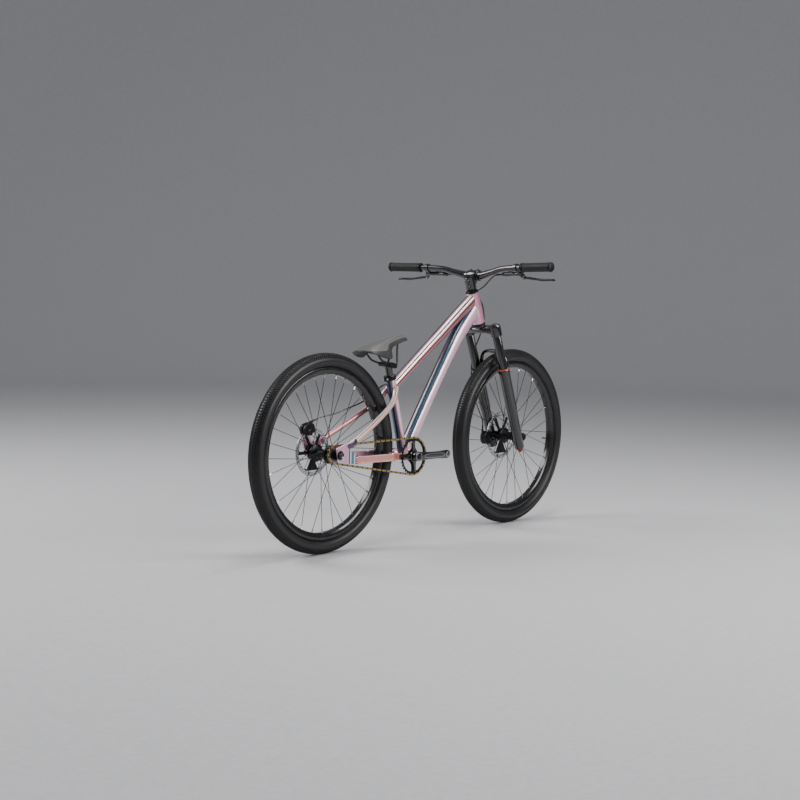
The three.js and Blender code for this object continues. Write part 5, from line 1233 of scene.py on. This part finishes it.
rail_shares = (
    (-0.49, 1.22, 0.5), (-0.42, 1.18, 0.38), (-0.3, 1.1, 0.08), (-0.2, 1, 0), (0, 1, 0),
    (0.075, 1, 0), (0.1, 0.92, 0.3), (0.085, 0.62, 1.1), (0.08, 0.4, 1.82)
)
rail_path = [(a * saddle_length, o * 22, h * saddle_depth, 3.5, 3.5) for a, o, h in rail_shares]
rail = swept(rail_path, 64, 16)
rails = rail.moved().join(mirrored(rail)).moved(rail_frame)
piece("saddle_rail_pair", rails, dark_alloy, "seat", "bare_steel", ["saddle_rails"])

saddle_sections = [
    (-0.572, 0.01, 0.3, -0.09, 0), (-0.565, 0.04, 0.5, -0.13, 0), (-0.535, 0.09, 0.78, -0.22, 0),
    (-0.45, 0.165, 0.95, -0.45, 0.6), (-0.34, 0.205, 1, -0.68, 1), (-0.24, 0.205, 1, -0.77, 1),
    (-0.17, 0.195, 0.83, -0.56, 1), (-0.1, 0.19, 0.61, -0.36, 1), (-0.02, 0.2, 0.455, -0.29, 1),
    (0.09, 0.22, 0.35, -0.26, 0.8), (0.215, 0.233, 0.287, -0.24, 0.5), (0.32, 0.2, 0.25, -0.22, 0),
    (0.4, 0.11, 0.22, -0.23, 0), (0.45, -0.03, 0.16, -0.24, 0), (0.473, -0.15, 0.07, -0.22, 0),
]
top_count, under_count = 44, 24
crown_power, skirt_drop, shell_thickness = 2.2, 2.4, 9.6
saddle_rings = []
for along, crown, width, edge, channel in smooth_path(saddle_sections, 84):
    ring = []
    half, rise = max(width, 0.04) * saddle_half_width, (crown - edge) * saddle_depth
    for k in range(top_count + 1):
        share = math.cos(math.pi * k / top_count)
        groove = max(0, 1 - abs(share) / 0.3) * max(channel, 0) * 2.5
        z = edge * saddle_depth + rise * (1 - abs(share) ** crown_power) - groove
        ring.append(Vector((along * saddle_length, share * half, z)) * MM)
    for k in range(under_count + 1):
        share = -math.cos(math.pi * k / under_count)
        inner_rise = (rise - shell_thickness) * (1 - abs(share) ** crown_power)
        z = edge * saddle_depth - skirt_drop + inner_rise
        ring.append(Vector((along * saddle_length, share * half * 0.95, z)) * MM)
    saddle_rings.append(ring)
saddle_frame = placed((-215, 0, 700)) @ Matrix.Rotation(math.radians(-12), 4, "Y")
nodes = Nodes("saddle_cover")
# The cover is black: the mid grey over the top panel is a painted highlight from the lights above,
# and the lighter band just inside each seam is a painted edge highlight. The near-black lines are
# the seams.
cover_seams_and_sheen = (
    (0.0, "29292a"), (0.1, "2d2d2d"), (0.132, "353534"), (0.138, "1e1e1e"), (0.146, "1e1e1e"),
    (0.152, "686764"), (0.2, "5b5a58"), (0.31, "5d5c5a"), (0.42, "5b5a58"), (0.476, "686764"),
    (0.482, "1e1e1e"), (0.49, "1e1e1e"), (0.496, "353534"), (0.53, "2d2d2d"), (0.63, "29292a"),
    (1.0, "262627"),
)
nodes.colours(nodes.round_place(), cover_seams_and_sheen)
spot = nodes.add("ShaderNodeTexCoord").outputs["Object"]
grain = nodes.add("ShaderNodeTexVoronoi", Scale=1100.0, Vector=spot).outputs["Distance"]
nodes.roughness(grain, (0.36, 0.5), 0.1, 0.6)
nodes.bump(grain, 0.25, 0.0003)
saddle_body = rings_joined(saddle_rings).moved(saddle_frame)
cover = nodes.material
saddle = piece("saddle_body", saddle_body, cover, "seat", "saddle_cover", ["saddle"], sharp=50)
print("saddle points:", len(saddle_body.points))

# %% [markdown]
# The fork turns with the handlebar. A forged crown holds two black stanchions, and a cast lower
# part with an arch slides on them. A seal on top of each lower leg shows as a thin ring, and a
# red knob under the right leg sets how fast the fork comes back.

# %% Headset and fork crown
steer_upright = steer @ upright
leg_ahead, leg_side = 12.0, 63.0
ahead_side = Vector((1, 0, 0))


def on_steerer(profile, sides=48, closed=True):
    return turned(profile, sides, closed=closed).moved(steer_upright)


def on_leg(profile, side, closed=True):
    leg = steer @ placed((leg_ahead, side * leg_side, 0)) @ upright
    return turned(profile, 48, closed=closed).moved(leg)


lower_cup = [(19.7, 470.4), (22.8, 470.4), (24.4, 472), (24.4, 479.2), (23.8, 480.6), (19.7, 480.6)]
upper_cup = [(15, 600.4), (23.6, 600.4), (24.4, 601.4), (24.2, 603.4), (20.6, 607.4), (15, 607.7)]
for name, solid, cup in (("low", "lower", lower_cup), ("high", "upper", upper_cup)):
    solids = [f"headset_{solid}_cup"]
    piece("headset_cup_" + name, on_steerer(cup), satin_black, "frame", "satin_black", solids)
crown_half = [
    (12, 63, 446, 18, 20.5), (10, 52, 449.5, 16.5, 20.5), (6, 36, 453, 14, 20.5),
    (2.5, 18, 455, 12.8, 22)
]
crown_path = both_halves(crown_half, (2, 0, 455, 12.8, 22.5))
crown = swept(crown_path, 48, 32, 2.8, side=ahead_side).moved(steer)
crown.join(on_steerer([(14.2, 466), (20.8, 466), (20.8, 469.6), (14.2, 469.6)]))
crown.join(on_steerer([(0.01, 460), (14.2, 460), (14.2, 661.6), (0.01, 661.6)], 32, closed=False))
collar_profile = [
    (16.1, 426.2), (20.4, 426.2), (21.5, 427.6), (21.5, 461), (19.8, 466.4), (16.1, 468)
]
for side in (1, -1):
    crown.join(on_leg(collar_profile, side))
piece("fork_crown_forging", crown, gloss_black, "steering", "gloss_black", ["fork_crown"])
stanchion_profile = [
    (0.01, 147), (15.9, 147), (15.9, 467.6), (15, 468.8), (11.9, 469), (11.9, 471), (10.6, 472),
    (0.01, 472)
]
for side, name in ((1, "left"), (-1, "right")):
    tube, solids = on_leg(stanchion_profile, side, closed=False), ["stanchion_" + name]
    piece("stanchion_tube_" + name, tube, gloss_black, "steering", "gloss_black", solids)
print("crown points:", len(crown.points))

# %% [markdown]
# The two lower legs, the arch that ties them together over the tyre and the lugs for the axle are
# one casting on the real fork, so they are joined into one piece here too. The front axle, the
# caliper on its two posts and the knob are added to it.

# %% Lower legs and front axle
leg_profile = [
    (0.01, -34), (13, -34), (17.2, -32), (18.6, -28), (18.6, 70), (18.8, 108), (19.6, 120),
    (20.8, 130), (21, 134), (21, 280), (21.6, 284), (21.6, 288), (20.6, 290), (16.2, 290),
]
lowers = Shape()
for side in (1, -1):
    lowers.join(on_leg(leg_profile, side, closed=False))
axle_ahead = 42
lug_edge = [(14, -27)] + arc(15.8, -110, 110, 20, axle_ahead) + [(26, 26), (14, 44)]
lug_plate = plate([lug_edge], 50.4, 67.6, 1.4).moved(steer)
lowers.join(lug_plate).join(mirrored(lug_plate))
arch_half = []
for ahead, side, drop in ((0.36, 0.96, 1.145), (0.9, 0.9, 0.558), (1, 0.63, 0.1175), (1, 0.3, 0)):
    arch_half.append((28 + (47 - 28) * ahead, side * leg_side, 349.5 - drop * 59.5, 6.5, 7.5))
arch_path = both_halves(arch_half, (47, 0, 349.5, 6.5, 7.5))
lowers.join(swept(arch_path, 56, 28, 3.2, side=ahead_side), steer)
front_spot = steer @ placed((axle_ahead, 0, 0))
front_brake_frame = front_spot @ Matrix.Rotation(math.radians(-162), 4, "Y")
for side in (-14, 14):
    post = swept([(x, 50.4, side, 5.4, 5.4) for x in (36, 60, 71.4)], 0, 24, 3)
    lowers.join(post, front_brake_frame)
piece("fork_lower_casting", lowers, gloss_black, "lowers", "gloss_black", ["fork_lowers"])
seal_profile = [
    (16.1, 289.9), (20.4, 289.9), (20.8, 290.8), (20.2, 292.4), (17.2, 294.2), (16.1, 294.2)
]
piece("wiper_right", on_leg(seal_profile, -1), copper_seal, "lowers", "gloss_black")
piece("wiper_left", on_leg(seal_profile, 1), satin_black, "lowers", "gloss_black")
axle_parts = cross_rod((0, 0), -68, 68, 7.3, 24).moved(front_spot)
for side in (-1, 1):
    axle_parts.join(socket_bolt(11, side * 68.1, side * 73), front_spot)
piece("front_axle_bolts", axle_parts, satin_black, "lowers", "satin_black", ["front_axle"])
caliper("front", "lowers", front_brake_frame, 72, 28.5, 56, *rotor_places["front"])
knob_profile = [
    (0.01, -47.3), (5.8, -47.3), (6.8, -46.4), (6.8, -35.6), (5.8, -34.4), (0.01, -34.4)
]
knob = turned(knob_profile, 40)
for turn in turns(20):
    knob.join(cross_rod(polar(6.7, turn), -46, -36, 0.75, 6))
knob_spot = steer @ placed((leg_ahead, -leg_side, 0)) @ upright
piece("rebound_dial", knob.moved(knob_spot), red_alloy, "knob", "red_alloy", ["rebound_knob"])
print("arch stations:", len(arch_path))

# %% [markdown]
# A short stem clamps the steerer from behind and the handlebar with a face plate and four bolts.
# The bar is a tapered tube with a little rise and back sweep. Its grips are ribbed rubber on a
# sleeve, with a lock collar at each end and a lighter plug.

# %% Stem and handlebar
spacer = on_steerer(
    [(14.5, 608.2), (17, 608.2), (17.5, 608.8), (17.5, 615), (17, 615.6), (14.5, 615.6)]
)
piece("steering_spacer_ring", spacer, satin_black, "steering", "satin_black", ["steering_spacer"])
bar_ahead, bar_height = 32, 655
stem = on_steerer(
    [(14.4, 616.2), (18.6, 616.2), (19.5, 617.2), (19.5, 660.8), (18.6, 661.8), (14.4, 661.8)]
)
stem_path = [(8, 0, 641, 18.5, 16.4), (20, 0, 646, 17.5, 16), (30, 0, 651.5, 17, 19)]
stem.join(swept(stem_path, 12, 32, 3.6), steer)


def bar_shell(outer, inner, low, high, right_end, left_end, edge=1.2):
    """A part of the bar clamp: a curved plate between two radii and two angles."""
    outline = arc(outer, low, high, 24, bar_ahead, bar_height)
    outline += arc(inner, high, low, 24, bar_ahead, bar_height)
    return plate([outline], right_end, left_end, edge)


stem.join(bar_shell(20.5, 16, 91, 269, -23.8, 23.8), steer)
clamp_bolt_heights = (628, 650)
for at in clamp_bolt_heights:
    stem.join(cross_rod((-15.6, at), -11, 11, 3.6), steer)
piece("stem_body", stem, gloss_black, "steering", "gloss_black", ["stem"])
face = bar_shell(20.5, 16, -88, 88, -23.8, -6).moved(steer)
face.join(mirrored(face)).join(bar_shell(18.6, 16, -70, 70, -7, 7, 0.4), steer)
piece("stem_face", face, gloss_black, "steering", "gloss_black", ["stem_faceplate"])
face_bolts = Shape()
for y in (-15.5, 15.5):
    for z in (636.8, 673.2):
        face_bolts.join(rod((38, y, z), (43.4, y, z), 3.5, 20), steer)
        face_bolts.join(rod((43.4, y, z), (43.7, y, z), 1.9, 6), steer)
for at in clamp_bolt_heights:
    face_bolts.join(cross_rod((-15.6, at), -12.2, -10.6, 3.0), steer)
piece("stem_bolts", face_bolts, dark_alloy, "steering", "satin_black")
cap_profile = [
    (0.01, 662.4), (16.2, 662.4), (17, 663.2), (16.6, 665.2), (14.6, 666.2), (0.01, 666.2)
]
cap = on_steerer(cap_profile, closed=False)
cap.join(on_steerer([(2.4, 666), (4.6, 666), (4.4, 667.4), (2.6, 667.4)], 24))
piece("top_cap_disc", cap, satin_black, "steering", "satin_black", ["top_cap"])

bar_half_length, bar_sweep, bar_rise, bar_radius, bar_end_radius = 368, 28.4, 43, 15.9, 11.1
bar_half = []
for along, sweep, rise, swell in (
    (1, 1, 1, 0), (0.61, 0.42, 0.805, 0), (0.38, 0.14, 0.635, 0), (0.245, 0.11, 0.335, 0.22),
    (0.11, 0, 0.02, 0.9), (0.085, 0, 0, 1)
):
    radius = bar_end_radius + (bar_radius - bar_end_radius) * swell
    x, z = bar_ahead - sweep * bar_sweep, bar_height + rise * bar_rise
    bar_half.append((x, along * bar_half_length, z, radius, radius))
bar_path = both_halves(bar_half, (bar_ahead, 0, bar_height, bar_radius, bar_radius))
bar = swept(bar_path, 110, 32, side=ahead_side).moved(steer)
piece("handlebar_tube", bar, gloss_black, "steering", "gloss_black", ["handlebar"])
bar_end, bar_bend = Vector(bar_half[0][:3]), Vector(bar_half[1][:3])
grip_way = (bar_end - bar_bend).normalized()
grip_start = bar_bend + grip_way * ((232 - bar_bend.y) / grip_way.y)
grip_turn = Vector((0, 1, 0)).rotation_difference(grip_way).to_matrix().to_4x4()
grip_frame = steer @ placed(grip_start) @ grip_turn
rubber_profile = [(11.3, 12), (15.2, 12)]
for k in range(26):
    at = 13 + k * 4.4
    rubber_profile += [(15.3, at), (16.3, at + 0.7), (16.3, at + 2.5), (15.3, at + 3.2)]
rubber_profile += [(15.2, 131), (11.3, 131)]
grip = turned(rubber_profile, 40, closed=True).moved(grip_frame)
collars = Shape()
for low, high in ((0, 11.6), (131.4, 140.6)):
    collar = [
        (11.3, low), (16.4, low), (17, low + 0.8), (17, high - 0.8), (16.4, high), (11.3, high)
    ]
    collars.join(turned(collar, 40, closed=True), grip_frame)
    y = (low + high) / 2
    collars.join(rod((-6, y, -15.2), (6, y, -15.2), 2.9), grip_frame)
plug_profile = [(0.01, 138), (13.6, 138), (14.4, 140.2), (13.2, 141.6), (8, 142.2), (0.01, 142.3)]
plug = turned(plug_profile, 40).moved(grip_frame)
grip_rubber = rubber("grip_rubber", "1b1c1e", "2c2d2f", (0.5, 0.66))
both_sides(
    "left", "grip_sleeve_*", grip, grip_rubber, "steering", "grip_rubber", "grip_*", sharp=30
)
both_sides("left", "grip_collars_*", collars, satin_black, "steering", "satin_black")
both_sides("left", "grip_plug_*", plug, dark_alloy, "steering", "satin_black")
print("grip direction:", [round(v, 3) for v in grip_way])

# %% [markdown]
# Each brake has a small master cylinder along the bar with a reservoir in front, a clamp, and a
# forged two-finger lever on a pin. Pulling the lever pushes oil down the hose to the caliper.

# %% Brakes and front hose
ahead_way = (0.796237, 0.077448, 0.600007)
out_way = (-0.118647, 0.992503, 0.02934)
up_way = (-0.593237, -0.094551, 0.799456)
brake_turn = Matrix((ahead_way, out_way, up_way)).transposed().to_4x4()
brake = placed((253.1, 206.0, 969.4)) @ brake_turn
barrel = [
    (0.01, -89.4), (3.9, -89.4), (3.9, -82.5), (6.2, -82), (7.8, -80), (8.5, -77), (8.5, -60),
    (8.0, -58), (8.0, -22), (8.5, -20), (8.5, 6), (7.2, 12), (5, 14), (0.01, 14),
]
master = turned(barrel, 36).moved(placed((0, 0, -26)))
reservoir = [
    (7.5, -58, -26, 5, 5.5), (7.8, -56, -26, 7.6, 7.6), (7.8, -26, -26, 7.6, 7.6),
    (7.5, -24, -26, 5, 5.5)
]
master.join(swept(reservoir, 0, 28, 3.6, side=ahead_side))
master.join(
    turned(
        [(11.4, -7), (14.4, -7), (15.2, -6.2), (15.2, 6.2), (14.4, 7), (11.4, 7)], 40, closed=True
    )
)
master.join(swept([(0, 0, -26, 6.6, 7.6), (0, 0, -19, 6.2, 6.2), (0, 0, -12, 6.8, 6.8)], 8, 24, 3))
for x in (-5.8, 5.8):
    ear = ((6, -27, 3), (11, -36, 6), (14, -42, 6), (16.5, -47, 3.5))
    master.join(swept([(x, y, z, h, 1.5) for y, z, h in ear], 12, 20, 4, side=ahead_side))
bright = rod((-8, 14, -42), (8, 14, -42), 2.4, 16).join(
    rod((13.6, 0, -6.5), (13.6, 0, 6.5), 2.6, 16)
)
for y in (-34, -49):
    bright.join(rod((7.8, y, -18.6), (7.8, y, -17.9), 2.6, 16))
lever = rod((-3.8, 14, -42), (3.8, 14, -42), 6.6, 24)
blade_rows = (
    (0.02, 0.05, 1.0, 1.0), (0.2, 0.3, 0.95, 1.0), (0.42, 0.6, 0.86, 0.8), (0.6, 0.8, 0.9, 0.9),
    (0.88, 0.85, 0.85, 0.85), (0.97, 0.95, 0.85, 0.85), (1.0, 1.0, 0.45, 0.6)
)
blade = [(0, 14 + o * 138, -42 - d * 18, 5.2 * tall, 4.0 * deep) for o, d, tall, deep in blade_rows]
lever.join(swept(blade, 40, 24, 2.4, side=ahead_side))
lever.join(rod((0, 8, -33), (0, 15, -40), 3.2, 16))
lever_gloss = finish("lever_gloss", "1c1d20", "2b2c30", (0.14, 0.26), 0.9, 0.6, 900, 0.06)
both_sides(
    "left", "brake_master_*", master.moved(brake), gloss_black, "steering", "satin_black",
    "master_cylinder_*"
)
both_sides("left", "brake_pins_*", bright.moved(brake), bright_alloy, "steering", "bright_alloy")
both_sides(
    "left", "lever_blade_*", lever.moved(brake), lever_gloss, "lever_*", "satin_black",
    "brake_lever_*"
)
front_hose = [
    (279.1, 119.3, 946), (280.9, 96, 944.5), (303, 58, 924), (325, 28, 886), (337, 12, 846),
    (348, 8, 808), (358, 14, 767), (369, 40, 715), (381, 76, 655), (387, 89, 596), (392, 89, 545),
    (398, 83, 495), (402, 66, 445), (410, 50, 400), (411.9, 47.75, 378), (411.92, 47.75, 361.3),
]
hose_between("front_hose", front_hose, "steering", "lowers", (2, 9), "front_brake_hose")
print("front hose points:", len(front_hose))

# %% [markdown]
# The studio is a plain pale floor that curves up far away on all sides, and three soft lights: one
# high on the left behind the bike, one on the right and one long strip above. Large lights draw
# long even highlights along the tubes, which is how glossy paint is always photographed.

# %% Floor and lights
floor_tone = finish("floor_tone", "c9c9cb", "d2d2d4", (0.5, 0.62), 0.0, 0.0, 60, 0.02)
floor_radius, wall_curve, wall_height = 13.0, 4.0, 12.0
floor_rows = [(0.0, 0.0), (floor_radius - wall_curve, 0.0)]
for t in np.linspace(0.1, math.pi / 2, 14):
    floor_rows.append(
        (floor_radius - wall_curve + wall_curve * math.sin(t), wall_curve * (1 - math.cos(t)))
    )
floor_rows.append((floor_radius, wall_height))
bowl = turned([(r / MM, rise / MM) for r, rise in floor_rows], 96)
floor_mesh = bpy.data.meshes.new("floor")
floor_mesh.from_pydata([(p[0], -p[2], p[1]) for p in bowl.points], [], bowl.faces[:-2])
floor_mesh.shade_smooth()
floor_mesh.materials.append(floor_tone)
floor = bpy.data.objects.new("floor", floor_mesh)
bpy.context.scene.collection.objects.link(floor)


def soft_light(name, place, target, width, height, power):
    data = bpy.data.lights.new(name, "AREA")
    data.shape = "RECTANGLE"
    data.size, data.size_y, data.energy = width, height, power
    lamp = bpy.data.objects.new(name, data)
    bpy.context.scene.collection.objects.link(lamp)
    lamp.location = place
    lamp.rotation_euler = (Vector(target) - Vector(place)).to_track_quat("-Z", "Y").to_euler()


soft_light("key", (-2.6, 3.4, 3.4), (0, 0, 0.5), 2.4, 2.4, 190)
soft_light("side", (1.0, -3.8, 2.4), (0, 0, 0.5), 2.8, 1.6, 150)
soft_light("strip", (0.2, -0.4, 4.2), (0, 0, 0.4), 4.0, 0.7, 90)
world = bpy.data.worlds.new("studio")
world.use_nodes = True
world.node_tree.nodes["Background"].inputs["Color"].default_value = (0.72, 0.73, 0.76, 1)
world.node_tree.nodes["Background"].inputs["Strength"].default_value = 0.45
bpy.context.scene.world = world
print("lights: 3")
